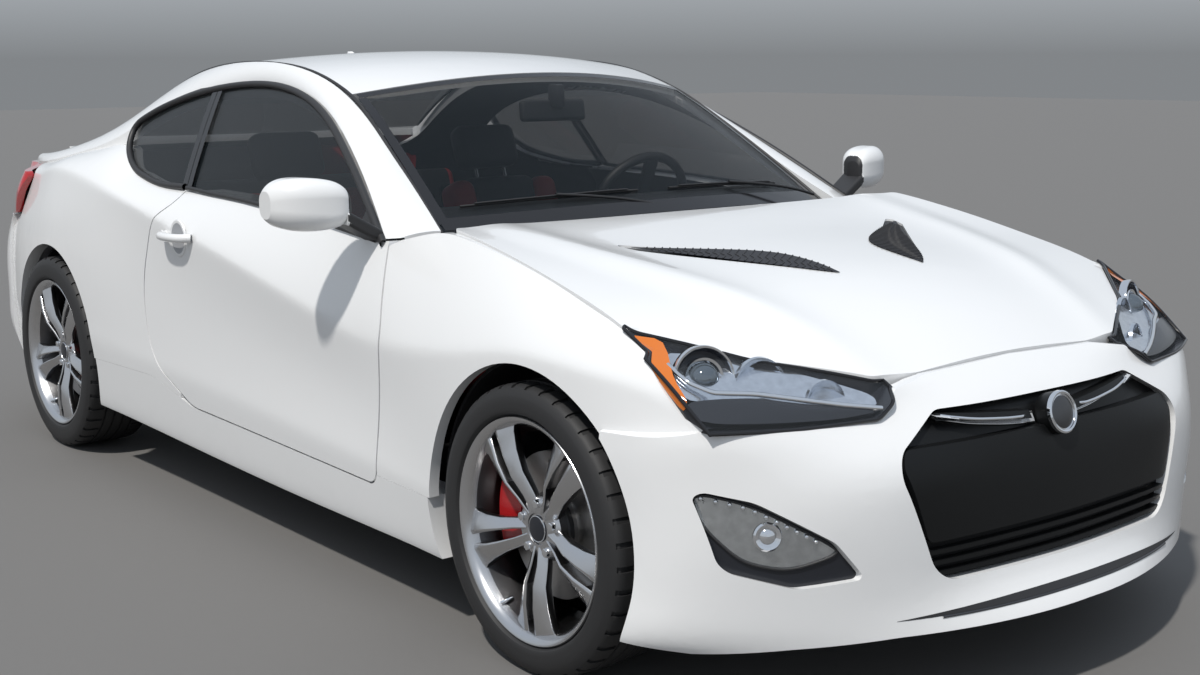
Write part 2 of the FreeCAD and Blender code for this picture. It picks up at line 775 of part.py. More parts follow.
# Grille: backing, smooth panel, slats and wing bars
def nose_layer(near, far, outline, grow=0.0):
    layer = wrapped_wall(bumper_rows(NOSE, NOSE_COLUMNS, NOSE_END, near, NOSE_Y),
                         bumper_rows(NOSE, NOSE_COLUMNS, NOSE_END, far, NOSE_Y))
    return layer.common(front_prism(outline, along(450), along(900), grow))


def symmetric(points):
    return list(points) + [(-y, z, r) for y, z, r in reversed(points)]


PANEL = ((455, 575, 30), (470, 540, 30), (420, 384, 20))
SLAT_HEIGHT = 9
grille = nose_layer(6, 31, symmetric(PANEL))
for z, half in ((366, 416), (343, 407), (320, 396)):
    slat = ((half, z, 0), (half - 2, z - SLAT_HEIGHT, 0))
    grille = grille.fuse(nose_layer(8, 31, symmetric(slat)))
WING = ((80, 594, 0), (352, 620, 6), (338, 632, 6), (80, 610, 0))
for s in (1, -1):
    grille = grille.fuse(nose_layer(2, 31, [(s * y, z, r) for y, z, r in WING]))
grille = grille.common(front_prism(grille_outline, along(450), along(900), -seam))
grille = grille.fuse(nose_layer(skin + seam, skin + 8, grille_outline, 6))
emblem = Part.makeCylinder(size("emblem_radius"), 36, place(706, 0, 590), Vector(1, 0, 0.28))
piece("grille", grille.fuse(emblem))

# Headlamps fill the corner between hood, fender and bumper
LAMP_TOP = ((262, 842), (352, 748), (456, 640), (592, 428), (640, 350))
LAMP_FOOT = ((508, 832, 642), (560, 742, 638), (602, 640, 636), (638, 494, 638), (658, 420, 640))
LAMP_DEPTH = Vector(-90, 0, -4)
LAMP_TIP_Y = 400
lamp_rows = []
for share, swell in ((-0.35, -5), (0, 1), (0.35, 11), (0.65, 12), (1, 1), (1.2, -3)):
    row = [hood_point(*top) * (1 - share) + place(*foot) * share + Vector(swell, swell * 0.6, swell * 0.6)
           for top, foot in zip(LAMP_TOP, LAMP_FOOT)]
    lamp_rows.append(row)
lamp = plate(lamp_rows, LAMP_DEPTH)
lamp = lamp.common(front_prism(BUMPER_TOP, along(0), along(900), -seam))
lamp = lamp.cut(side_prism(FENDER, 0, wide, seam)).cut(plan_prism(hood_outline, 0, high, shut_gap))
lamp = lamp.cut(front_prism(symmetric(((LAMP_TIP_Y, 900, 0), (LAMP_TIP_Y, 500, 0))), along(0), along(900)))
pair("headlamps", max(lamp.Solids, key=lambda solid: solid.Volume))

# Rear bumper, trunk lid and tail lamps share the rear surface
tailpipe_y = across(430)
tailpipe_z = up(250)
REAR_FACE_Y = (-700, -480, -240, 0, 240, 480, 700)
BUMPER_CREST = (
    (0, 752, 0),
    (430, 752, 20),
    (480, 788, 20),
    (960, 788, 0),
    (960, 1100, 0),
    (0, 1100, 0),
)
rear_wall = wrapped_wall(bumper_rows(TAIL, TAIL_COLUMNS, TAIL_END, 0, NOSE_Y),
                         bumper_rows(TAIL, TAIL_COLUMNS, TAIL_END, skin, NOSE_Y))
rear_bumper = rear_wall.cut(box(along(-3320) - seam, along(0), -wide, wide, 0, high))
for s in (1, -1):
    crest = front_prism([(s * y, z, r) for y, z, r in BUMPER_CREST], along(-4000), along(-3000))
    rear_bumper = rear_bumper.cut(crest)
    tailpipe_hole = Part.makeCylinder(size("tailpipe_radius") + 14, 500,
                                      Vector(along(-3900), s * tailpipe_y, tailpipe_z), Vector(1, 0, 0))
    rear_bumper = rear_bumper.cut(tailpipe_hole)
piece("rear_bumper", max(rear_bumper.Solids, key=lambda solid: solid.Volume))

tail_lamp = rear_wall.common(side_prism(LAMP_SIDE, across(512), wide))
pair("tail_lamps", max(tail_lamp.Solids, key=lambda solid: solid.Volume))


def deck_point(a, y):
    mid_z, edge_z = [table_value(DECK, DECK_COLUMNS, name, a) for name in DECK_COLUMNS[1:]]
    return place(a, y, mid_z - (mid_z - edge_z) * (y / DECK_EDGE_Y) ** 2)


LID_PLAN = (
    (-2898, 646, 20),
    (-3130, 697, 300),
    (-3290, 702, 300),
    (-3440, 672, 120),
    (-3600, 606, 200),
    (-3712, 500, 40),
    (-3742, 300, 200),
)
LID_FRONT = ((-2942, 200, 400),)
lid_half = LID_FRONT + LID_PLAN
lid_outline = list(lid_half) + [(a, -y, r) for a, y, r in reversed(lid_half)]
deck_rows = [[deck_point(a, y) for y in span(-720, 720, 7)] for a in span(-2850, -3745, 6)]
lid = plate(deck_rows, Vector(0, 0, -skin), surface).common(plan_prism(lid_outline, 0, high))
face_rows = []
for line in TAIL[4:]:
    v = dict(zip(TAIL_COLUMNS, line))
    half = [v["cheek"], v["knee"], v["inner"], v["mid"], v["inner"], v["knee"], v["cheek"]]
    face_rows.append([place(a, y, v["z"]) for a, y in zip(half, REAR_FACE_Y)])
LID_FACE = ((506, 1015, 0), (506, 800, 40), (420, 759, 30))
lid_face = plate(face_rows, Vector(skin, 0, 0), surface)
lid_face = lid_face.common(front_prism(symmetric(LID_FACE), along(-4000), along(-3000)))
lid = lid.fuse(lid_face)
for s in (1, -1):
    side = sorted((s * across(505), s * wide))
    lid = lid.cut(side_prism(LAMP_SIDE, side[0], side[1], shut_gap))
piece("trunk_lid", max(lid.Solids, key=lambda solid: solid.Volume))

# Cowl under the windshield's foot, wipers on the glass
cowl_rows = [[place(a, y, 936.8 - (a + 470) * -0.05 - 12 * (y / 790.0) ** 2) for y in span(-770, 770, 5)]
             for a in span(-472, -600, 4)]
piece("cowl_panel", plate(cowl_rows, Vector(0, 0, -18)))


def bent_rod(start, middle, end, radius):
    """Round bar along the arc through three points."""
    arc = Part.Wire([Part.Arc(start, middle, end).toShape()])
    ring = Part.Wire([Part.Circle(start, middle - start, radius).toShape()])
    return arc.makePipeShell([ring], True, False)


WIPER_LIFT = 7.1
blades = [bent_rod(*[top_point(0.14, u) + Vector(4, 0, WIPER_LIFT) for u in span(first, last, 3)], 8)
          for first, last in ((-0.88, -0.12), (0.0, 0.72))]
piece("wipers", Part.makeCompound([blade.cut(windshield) for blade in blades]))


# Antenna fin
def ellipse_wire(centre, half_x, half_y):
    edge = Part.Ellipse(centre, half_x, half_y).toShape()
    return Part.Wire([edge])


fin_foot = place(-2245, 0, 1340)
fin = Part.makeLoft([ellipse_wire(fin_foot, 70, 19), ellipse_wire(fin_foot + Vector(-12, 0, 22), 46, 13),
                     ellipse_wire(fin_foot + Vector(-30, 0, 44), 14, 4)], True)
roof_room = roof.copy()
roof_room.translate(Vector(0, 0, seam / 2))
fin = fin.cut(roof_room)
fin = fin.cut(box(along(-2500), along(-2000), -100, 100, 0, up(1338)))
piece("antenna_fin", max(fin.Solids, key=lambda solid: solid.Volume))


# Door mirrors: a shell of rounded sections across the car, on a foot at the window corner
def section_across(centre, half_x, half_z, radius):
    corners = ((-half_x, -half_z), (half_x, -half_z), (half_x, half_z), (-half_x, half_z))
    return rounded_wire([(centre + Vector(x, 0, z), radius) for x, z in corners])


MIRROR = (
    (-724, 915, 1002, 24, 30, 20),
    (-744, 945, 1006, 54, 56, 38),
    (-766, 1010, 1008, 66, 66, 48),
    (-784, 1064, 1010, 58, 60, 46),
    (-800, 1098, 1008, 30, 34, 26),
)
housing = Part.makeLoft([section_across(place(a, y, z), half_x, half_z, radius)
                         for a, y, z, half_x, half_z, radius in MIRROR], True)
mirror_foot = Part.makeLoft([section_across(place(-722, 838, 922), 42, 18, 10),
                             section_across(place(-735, 930, 975), 44, 18, 10)], True)
mirror = housing.fuse(mirror_foot).cut(door).cut(door_glass)
for shift in (0, shut_gap):
    pillar_room = pillar.copy()
    pillar_room.translate(Vector(0, shift, -shift))
    mirror = mirror.cut(pillar_room)
mirror = max(mirror.Solids, key=lambda solid: solid.Volume)
piece("mirror_left", mirror)
piece("mirror_right", mirrored(mirror))


# From here on each solid is an object of the document whose sizes follow the sheet.
def bind(item, formulas):
    for prop, formula in formulas.items():
        item.setExpression(prop, re.sub("[a-z][a-z_]+", lambda word: "Dimensions." + word.group(0), formula))


def primitive(kind, name, at, **formulas):
    """A basic solid put at a place."""
    item = doc.addObject("Part::" + kind, name)
    bind(item, formulas)
    item.Placement = FreeCAD.Placement(at, Rotation())
    return item


def block(name, at, length, width, height):
    """Box from its lowest corner; the sides are formulas."""
    return primitive("Box", name, at, Length=length, Width=width, Height=height)


def middle_block(name, x, z, length, width, height):
    """Box centred across the car."""
    item = block(name, Vector(x, 0, z), length, width, height)
    bind(item, {"Placement.Base.y": "-(%s) / 2" % width})
    return item


def bar(name, start, end, radius):
    """Round bar between two points; the radius is a formula."""
    item = primitive("Cylinder", name, start, Radius=radius)
    item.Height = (end - start).Length
    item.Placement = FreeCAD.Placement(start, Rotation(Vector(0, 0, 1), end - start))
    return item


def ball(name, at, radius):
    return primitive("Sphere", name, at, Radius=radius)


def fused(name, items):
    item = doc.addObject("Part::MultiFuse", name)
    item.Shapes = items
    item.Refine = False
    return item


def without(name, base, tool):
    item = doc.addObject("Part::Cut", name)
    item.Base = base
    item.Tool = tool
    return item


def other_side(name, source):
    """The mirror image across the middle plane."""
    item = doc.addObject("Part::Mirroring", name)
    item.Source = source
    item.Normal = Vector(0, 1, 0)
    return item


def both_sides(name, source):
    item = doc.addObject("Part::Compound", name)
    item.Links = [source, other_side(name + "_right", source)]
    return item


def loose(name, shape):
    item = doc.addObject("Part::Feature", name)
    item.Shape = shape
    return item


def keep(name, item):
    item.Label = name
    pieces[name] = item
    return item


def ring(name, at, profile):
    """Ring about a line along Y through a point, from (radius, y) corners."""
    outline = doc.addObject("Part::Polygon", name + "_outline")
    outline.Nodes = [at + Vector(r, y, 0) for r, y in profile]
    outline.Close = True
    item = doc.addObject("Part::Revolution", name)
    item.Source = outline
    item.Base = at
    item.Axis = Vector(0, 1, 0)
    item.Angle = 360
    item.Solid = True
    return item


def disc(name, at, inset, radius, thickness):
    """Round plate about a line along Y; radius and thickness are formulas."""
    item = primitive("Cylinder", name, at, Radius=radius, Height=thickness)
    item.Placement = FreeCAD.Placement(at + Vector(0, inset, 0), Rotation(Vector(1, 0, 0), 90))
    return item


def tipped(item, pivot, angle):
    """Tilts an object about a line along Y through a point."""
    turn = FreeCAD.Placement(Vector(), Rotation(Vector(0, 1, 0), angle), pivot)
    item.Placement = turn.multiply(item.Placement)
    return item


def softened(name, item, radius):
    """Rounds every edge of a box."""
    rounded = doc.addObject("Part::Fillet", name)
    rounded.Base = item
    rounded.Edges = [(edge, radius, radius) for edge in range(1, 13)]
    return rounded


# Wheels
BEAD_RADIUS = 241
WELL_RADIUS = 224
HUB_INSET = 42
DISC_SET_BACK = 56
BEAD_CLEARANCE = 0.4
TOUCH = 0.3


def make_tyre(name, at, radius, width):
    half = width / 2
    bead = BEAD_RADIUS + BEAD_CLEARANCE
    lip = size("rim_radius") + BEAD_CLEARANCE
    outside = [(bead, half - 20), (lip, half - 16), (lip + 6, half - 5), (bead + 44, half),
               (radius - 14, half - 8), (radius - 2, half - 26), (radius, 0)]
    inside = [(radius - 16, half - 30), (bead + 32, half - 12), (bead, half - 34)]
    profile = outside + [(r, -y) for r, y in reversed(outside[:-1])]
    profile += [(r, -y) for r, y in reversed(inside)] + inside
    return ring(name, at, profile)


def make_wheel(name, at, width):
    half = width / 2 - 7
    rim = size("rim_radius")
    w = size("rim_wall")
    parts = [ring(name + "_barrel", at, [
        (rim, half), (rim, half - 8), (BEAD_RADIUS, half - 12), (BEAD_RADIUS, half - 34),
        (WELL_RADIUS, half - 60), (WELL_RADIUS, -half + 60), (BEAD_RADIUS, -half + 30),
        (BEAD_RADIUS, -half + 10), (rim, -half + 8), (rim, -half),
        (BEAD_RADIUS - w, -half), (BEAD_RADIUS - w, -half + 30), (WELL_RADIUS - w, -half + 60),
        (WELL_RADIUS - w, half - 62), (BEAD_RADIUS - w, half - 30), (BEAD_RADIUS, half)])]
    face_hub = half - HUB_INSET
    sections = ((50, 15, face_hub - 3, 1.08, 30), (140, 24, face_hub + 10, 0.85, 26), (231, 40, half - 12, 1, 24))
    for i in range(int(size("spoke_count"))):
        turn = Rotation(Vector(0, 1, 0), 360.0 * i / size("spoke_count") + 180)
        for side in (1, -1):
            leg = doc.addObject("Part::Loft", "%s_spoke" % name)
            outlines = []
            for r, shift, y, share, thick in sections:
                w2 = share * size("spoke_width") / 2
                corners = ((-w2, y - thick), (w2, y - thick), (w2 * 0.6, y), (-w2 * 0.6, y))
                outline = doc.addObject("Part::Polygon", "%s_spoke_section" % name)
                outline.Nodes = [at + turn.multVec(Vector(side * shift + x, depth, r)) for x, depth in corners]
                outline.Close = True
                outlines.append(outline)
            leg.Sections = outlines
            leg.Solid = True
            leg.Ruled = True
            parts.append(leg)
    parts.append(disc(name + "_hub", at, face_hub, "hub_radius", "34"))
    disc_face = face_hub - DISC_SET_BACK + size("disc_thickness") / 2
    parts.append(disc(name + "_brake_disc", at, disc_face, "disc_radius", "disc_thickness"))
    parts.append(disc(name + "_bell", at, face_hub - 30, "hub_radius + 8", "%g" % (DISC_SET_BACK - 32)))
    return fused(name, parts)


def put_wheels(end, x, track, radius, width):
    at = Vector(x, track / 2, radius)
    for kind, item in (("wheel", make_wheel("wheel_%s_left" % end, at, width)),
                       ("tyre", make_tyre("tyre_%s_left" % end, at, radius, width))):
        keep("%s_%s_left" % (kind, end), item)
        keep("%s_%s_right" % (kind, end), other_side("%s_%s_right" % (kind, end), item))


put_wheels("front", front_axle, size("track_front"), size("tyre_radius_front"), size("tyre_width_front"))
put_wheels("rear", rear_axle, size("track_rear"), size("tyre_radius_rear"), size("tyre_width_rear"))


# Knuckles and calipers
CALIPER_BEHIND = (-118, -62)
CALIPER_AHEAD = (62, 118)
PAD_GAP = 1.5


def make_knuckle(name, at, width, caliper, pivot_y):
    """Upright with a stub axle and a caliper; pivot_y is measured from the wheel's middle."""
    half = width / 2 - 7
    face_hub = half - HUB_INSET
    disc_y = face_hub - DISC_SET_BACK
    grip = size("disc_thickness") / 2 + PAD_GAP
    radius = size("disc_radius")
    lump = ring(name + "_caliper_ring", at, [
        (radius - 58, disc_y - grip - 24), (radius + 26, disc_y - grip - 24), (radius + 26, disc_y + grip + 12),
        (radius - 58, disc_y + grip + 12), (radius - 58, disc_y + grip), (radius + 5, disc_y + grip),
        (radius + 5, disc_y - grip), (radius - 58, disc_y - grip)])
    wedge_points = [Vector(0, -width, 0)]
    for angle in (caliper[0], sum(caliper) / 2, caliper[1]):
        wedge_points.append(Vector(2 * radius * math.sin(math.radians(angle)), -width,
                                   2 * radius * math.cos(math.radians(angle))))
    outline = doc.addObject("Part::Polygon", name + "_sector")
    outline.Nodes = [at + point for point in wedge_points]
    outline.Close = True
    wedge = doc.addObject("Part::Extrusion", name + "_wedge")
    wedge.Base = outline
    wedge.DirMode = "Custom"
    wedge.Dir = Vector(0, 1, 0)
    wedge.LengthFwd = 2 * width
    wedge.Solid = True
    calipers = doc.addObject("Part::MultiCommon", name + "_caliper")
    calipers.Shapes = [lump, wedge]
    inner = disc_y - grip - 10
    middle = math.radians(sum(caliper) / 2)
    arm_end = at + Vector((radius - 40) * math.sin(middle), inner - 8, (radius - 40) * math.cos(middle))
    upright = block(name + "_upright", at + Vector(-26, 0, 0), "52", "upright_width", "upright_height")
    bind(upright, {"Placement.Base.y": "%.6f - upright_width / 2" % (at.y + pivot_y),
                   "Placement.Base.z": "%.6f - upright_height / 2" % at.z})
    stub_end = disc_y - size("disc_thickness") / 2 - TOUCH
    stub = bar(name + "_stub", at + Vector(0, pivot_y, 0), at + Vector(0, stub_end, 0), "stub_radius")
    arm = bar(name + "_arm", at + Vector(0, inner - 8, 0), arm_end, "15")
    return fused(name, [upright, stub, arm, calipers])


front_at = Vector(front_axle, size("track_front") / 2, size("tyre_radius_front"))
rear_at = Vector(rear_axle, size("track_rear") / 2, size("tyre_radius_rear"))
kingpin_y = size("kingpin_y")
rear_pivot_y = kingpin_y - 12
front_knuckle = make_knuckle("front_knuckle_left", front_at, size("tyre_width_front"), CALIPER_BEHIND,
                             kingpin_y - front_at.y)
keep("front_knuckle_left", front_knuckle)
keep("front_knuckle_right", other_side("front_knuckle_right", front_knuckle))
rear_knuckle = make_knuckle("rear_knuckle", rear_at, size("tyre_width_rear"), CALIPER_AHEAD,
                            rear_pivot_y - rear_at.y)
keep("rear_knuckles", both_sides("rear_knuckles", rear_knuckle))

# Floor, tunnel, firewall, rails, radiator support and rear floor
floor_z = size("floor_z")
floor_top = floor_z + size("floor_depth")
house_y = across(490)
floor_y = across(780)
tunnel_z = floor_top + size("tunnel_height")
front_house_end = front_axle - arch_front - 15
rear_house_end = rear_axle + arch_rear + 15
body_rear = along(-3625)
REAR_FLOOR_Z = 312
REAR_FLOOR_DEPTH = 28


def spread(x0, x1, y0, y1, z0, z1):
    """Box between limits that are themselves worked out from the sheet."""
    sides = ["%.6f" % length for length in (x1 - x0, y1 - y0, z1 - z0)]
    return block("sheet_metal", Vector(x0, y0, z0), *sides)


floor_panel = spread(rear_house_end, front_house_end, -floor_y, floor_y, floor_z, floor_top)
bind(floor_panel, {"Placement.Base.z": "floor_z", "Height": "floor_depth"})
tunnel = spread(rear_house_end, front_house_end, -size("tunnel_width") / 2 - 8, size("tunnel_width") / 2 + 8,
                floor_z, tunnel_z)
bind(tunnel, {"Width": "tunnel_width + 16", "Height": "floor_depth + tunnel_height"})
rear_floor = up(REAR_FLOOR_Z)
rear_floor_top = rear_floor + REAR_FLOOR_DEPTH
firewall = spread(front_house_end - 10, front_house_end + 12, -across(700), across(700), floor_z, up(900))
boot_floor = spread(body_rear, rear_house_end + 10, -house_y + 4, house_y - 4, rear_floor, rear_floor_top)
boot_shelf = spread(along(-3520), along(-3250), -across(560), across(560), rear_floor, rear_floor_top)
heel_panel = spread(rear_house_end - 12, rear_house_end + 15, -floor_y, floor_y, floor_z, up(360))
rear_panel = spread(body_rear - 20, body_rear, -across(440), across(440), up(306), up(730))
radiator_support = spread(along(545), along(575), -across(460), across(460), up(240), up(620))
floor_parts = [floor_panel, tunnel, firewall, boot_floor, heel_panel, rear_panel, boot_shelf, radiator_support]
for s in (1, -1):
    rail = sorted((s * across(360), s * across(440)))
    floor_parts.append(spread(front_house_end, along(560), rail[0], rail[1], up(420), up(500)))
    for x in (front_house_end - 130, rear_house_end + 60):
        pad = block("jack_pad", Vector(x, s * across(742), floor_z - 12),
                    "jack_pad_length", "jack_pad_width", "24")
        bind(pad, {"Placement.Base.y": "%.6f - jack_pad_width / 2" % (s * across(742))})
        floor_parts.append(pad)
tunnel_hollow = middle_block("tunnel_hollow", rear_house_end - 30, floor_z - 5,
                             "%.6f" % (front_house_end - rear_house_end + 60),
                             "tunnel_width", "floor_depth + tunnel_height - 5")
keep("underbody", without("underbody", fused("floor_sheets", floor_parts), tunnel_hollow))


def make_wheelhouses(name, x, z, arch, outer_y, formula):
    """Liner shells over a pair of wheels, closed towards the middle of the car."""
    height = "%.6f" % (outer_y - house_y + size("liner"))
    shell = disc(name + "_outside", Vector(x, 0, z), outer_y, formula + " + liner", height)
    hollow = disc(name + "_inside", Vector(x, 0, z), house_y + wide, formula, "overall_width")
    below = spread(x - 2 * arch, x + 2 * arch, 0, wide, z - 2 * arch, z - 60)
    liner = without(name + "_shell", without(name + "_drum", shell, hollow), below)
    return liner


front_liner = make_wheelhouses("front_wheelhouse", front_axle, size("tyre_radius_front"), arch_front, across(862),
                               "tyre_radius_front + arch_gap_front")
rear_liner = make_wheelhouses("rear_wheelhouse", rear_axle, size("tyre_radius_rear"), arch_rear, across(838),
                              "tyre_radius_rear + arch_gap_rear")

# Engine
ENGINE_AHEAD = 0.62
ENGINE_Z = up(262)
engine_x = front_axle - size("engine_length") * ENGINE_AHEAD
keep("engine_block", middle_block("engine_block", engine_x, ENGINE_Z,
                                  "engine_length", "engine_width", "engine_height"))

# Suspension carried by the body
ARM_RADIUS = "arm_radius"
arm = size("arm_radius")
axle_z = size("tyre_radius_front")
front_frame = [spread(front_axle - 60, front_axle + 110, -across(360), across(360), up(185), up(245))]
rear_frame = [spread(rear_axle - 130, rear_axle + 130, -across(340), across(340), up(240), up(300))]
for s in (1, -1):
    joint = Vector(front_axle, s * kingpin_y, axle_z - size("upright_height") / 2 - arm - TOUCH)
    for dx in (-45, 95):
        inner_end = Vector(front_axle + dx, s * across(340), joint.z - 1)
        front_frame.append(bar("lower_arm", inner_end, joint, ARM_RADIUS))
    joint = Vector(rear_axle, s * (rear_pivot_y - size("upright_width") / 2 - 5), size("tyre_radius_rear") - 90)
    post = sorted((s * across(290), s * across(330)))
    rear_frame.append(spread(rear_axle - 60, rear_axle + 60, post[0], post[1], up(295), up(REAR_FLOOR_Z) - TOUCH))
    for dx in (-115, 115):
        rear_frame.append(bar("rear_arm", Vector(rear_axle + dx, s * across(320), up(250)), joint, ARM_RADIUS))
    post = sorted((s * across(330), s * across(400)))
    for x in (front_axle - 55, front_axle + 70):
        front_frame.append(spread(x, x + 36, post[0], post[1], up(205), up(420) - TOUCH))
    mount = sorted((s * across(200), s * across(240)))
    front_frame.append(spread(front_axle + 20, front_axle + 60, mount[0], mount[1], up(240), ENGINE_Z - TOUCH))
keep("front_subframe", fused("front_subframe", front_frame))
keep("rear_subframe", fused("rear_subframe", rear_frame))

# Exhaust
PIPE_RADIUS = "exhaust_pipe_radius"
pipe_z = floor_z + 20
muffler_x = along(-3330)
route = [Vector(engine_x + 40, 0, up(225)), Vector(front_house_end - 60, 0, pipe_z + 30),
         Vector(rear_house_end + 60, 0, pipe_z + 30), Vector(rear_axle + 200, 0, up(198)),
         Vector(muffler_x + 60, 0, up(198))]
exhaust = [middle_block("muffler", muffler_x - 150, up(180), "muffler_length", "muffler_width",
                        "%.6f" % up(105))]
for start, end in zip(route, route[1:]):
    exhaust.append(bar("pipe", start, end, PIPE_RADIUS))
for bend in route[1:-1]:
    exhaust.append(ball("pipe_bend", bend, PIPE_RADIUS))
for s in (1, -1):
    bend, tip, end = [Vector(x, s * tailpipe_y, tailpipe_z) for x in (along(-3585) + 30, along(-3585), along(-3745))]
    exhaust.append(bar("outlet_pipe", Vector(muffler_x - 140, s * across(290), up(235)), bend, PIPE_RADIUS))
    exhaust.append(ball("pipe_bend", bend, PIPE_RADIUS))
    exhaust.append(bar("outlet_end", bend, tip, PIPE_RADIUS))
    exhaust.append(bar("tailpipe", tip, end, "tailpipe_radius"))
keep("exhaust", fused("exhaust", exhaust))

# Seats
SEAT_TILT = -20
SEAT_EDGE = 45
hip = along(-1700)
seat_y = size("seat_y")
seat_pivot = Vector(hip - 40, 0, up(330))


def seat_block(name, x, z, length, width, height):
    """Box centred on the seat."""
    item = block(name, Vector(x, 0, z), length, width, height)
    bind(item, {"Placement.Base.y": "seat_y - (%s) / 2" % width})
    return item


cushion_block = seat_block("cushion_block", hip, up(300), "cushion_length", "seat_width", "cushion_depth")
cushion = softened("cushion", cushion_block, SEAT_EDGE)
tipped(cushion, Vector(hip, 0, up(300)), -6)
back_block = seat_block("back_block", hip - 108, up(330), "back_depth", "seat_width - 30", "back_height")
back = softened("seat_back", back_block, SEAT_EDGE)
tipped(back, seat_pivot, SEAT_TILT)
head_block = seat_block("head_block", hip - 100, up(1000), "back_depth - 18", "head_rest_width",
                        "head_rest_height")
head = softened("head_rest", head_block, SEAT_EDGE - 5)
tipped(head, seat_pivot, SEAT_TILT)
seat_parts = [cushion, back, head]
for y in (-60, 60):
    post = bar("head_post", Vector(hip - 55, seat_y + y, up(930)), Vector(hip - 55, seat_y + y, up(1020)), "7")
    seat_parts.append(tipped(post, seat_pivot, SEAT_TILT))
seat_parts.append(seat_block("seat_base", hip + 20, floor_top, "cushion_length - 80", "seat_width - 120",
                             "%.6f" % (up(330) - floor_top)))
keep("front_seats", both_sides("front_seats", fused("front_seat", seat_parts)))

BENCH_EDGE = 35
bench_block = middle_block("bench_block", along(-2380), up(400), "350", "rear_seat_width", "%.6f" % up(100))
bench = softened("bench", bench_block, BENCH_EDGE)
bench_back_block = middle_block("bench_back_block", along(-2480), up(430), "110", "rear_seat_width",
                                "%.6f" % up(530))
bench_back = softened("bench_back", bench_back_block, BENCH_EDGE)
tipped(bench_back, Vector(along(-2400), 0, up(430)), -18)
bench_base = middle_block("bench_base", along(-2385), floor_top, "325", "rear_seat_width - 80",
                          "%.6f" % (up(460) - floor_top))
bench_whole = fused("bench_whole", [bench, bench_back, bench_base])
rooms = [middle_block("tunnel_room", along(-2500), 0, "500", "tunnel_width + 24",
                      "%.6f" % (tunnel_z + 3))]
for s in (1, -1):
    outer_side = s * (house_y - size("liner") - 2) if s < 0 else wide
    rooms.append(disc("wheel_room", Vector(rear_axle, 0, size("tyre_radius_rear")), outer_side,
                      "tyre_radius_rear + arch_gap_rear + liner + 2",
                      "%.6f" % (wide - house_y + size("liner") + 2)))
keep("rear_seat", without("rear_seat", bench_whole, fused("bench_rooms", rooms)))
doc.recompute()

# Wheelhouses are trimmed by the floor, the seat belongs to the cabin side of them
for name, liner in (("front_wheelhouses", front_liner), ("rear_wheelhouses", rear_liner)):
    tool = doc.getObject("underbody").Shape.copy()
    shell = liner.Shape.cut(tool)
    pair(name, max(shell.Solids, key=lambda solid: solid.Volume))

# Dashboard, console and steering wheel
DASH = (
    (-640, 640, 0),
    (-640, 880, 60),
    (-900, 955, 120),
    (-1030, 950, 50),
    (-1052, 840, 80),
    (-1000, 620, 120),
    (-800, 560, 60),
)
COLUMN_RISE = 22
wheel_centre = place(-1170, 0, 880) + Vector(0, seat_y, 0)
column = Vector(-math.cos(math.radians(COLUMN_RISE)), 0, math.sin(math.radians(COLUMN_RISE)))
dash = loose("dash_body", side_prism(DASH, -across(690), across(690)))
console_block = middle_block("console_block", along(-1760), tunnel_z + seam / 2,
                             "%.6f" % (along(-860) - along(-1760)), "console_width",
                             "%.6f" % (up(600) - tunnel_z - seam / 2))
console = softened("console", console_block, 25)
column_rod = bar("column", wheel_centre - column * 200, wheel_centre - column * 35.3, "38")
keep("dashboard", fused("dashboard", [dash, console, column_rod]))

lying = FreeCAD.Placement(wheel_centre, Rotation(Vector(0, 0, 1), column))
wheel_parts = [primitive("Torus", "wheel_ring", Vector(), Radius1="wheel_ring_radius", Radius2="wheel_ring_tube"),
               primitive("Cylinder", "wheel_boss", Vector(0, 0, -35), Radius="62", Height="50")]
for angle in (0, 180, 270):
    spoke = block("wheel_spoke", Vector(40, -22, -14), "wheel_ring_radius - 40", "44", "16")
    spoke.Placement = FreeCAD.Placement(Vector(), Rotation(Vector(0, 0, 1), angle)).multiply(spoke.Placement)
    wheel_parts.append(spoke)
for part in wheel_parts:
    part.Placement = lying.multiply(part.Placement)
keep("steering_wheel", fused("steering_wheel", wheel_parts))

# Checks and export
os.makedirs("parts", exist_ok=True)
doc.recompute()
for item in doc.Objects:
    if "Invalid" in item.State or "Error" in item.State:
        raise RuntimeError("%s did not build: %s" % (item.Name, item.State))
for name, item in pieces.items():
    if item.Shape.isNull() or not item.Shape.isValid() or not item.Shape.Solids:
        raise RuntimeError("%s has no valid solid" % name)
for name, item in pieces.items():
    solids = item.Shape.Solids
    shape = solids[0] if len(solids) == 1 else Part.makeCompound(solids)
    shape.exportStep("parts/%s.step" % name)
    print(name, len(solids), "solids", round(shape.Volume / 1e6, 2), "litres")
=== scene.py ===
import math

import bpy
from mathutils import Matrix, Vector
from mathutils.bvhtree import BVHTree


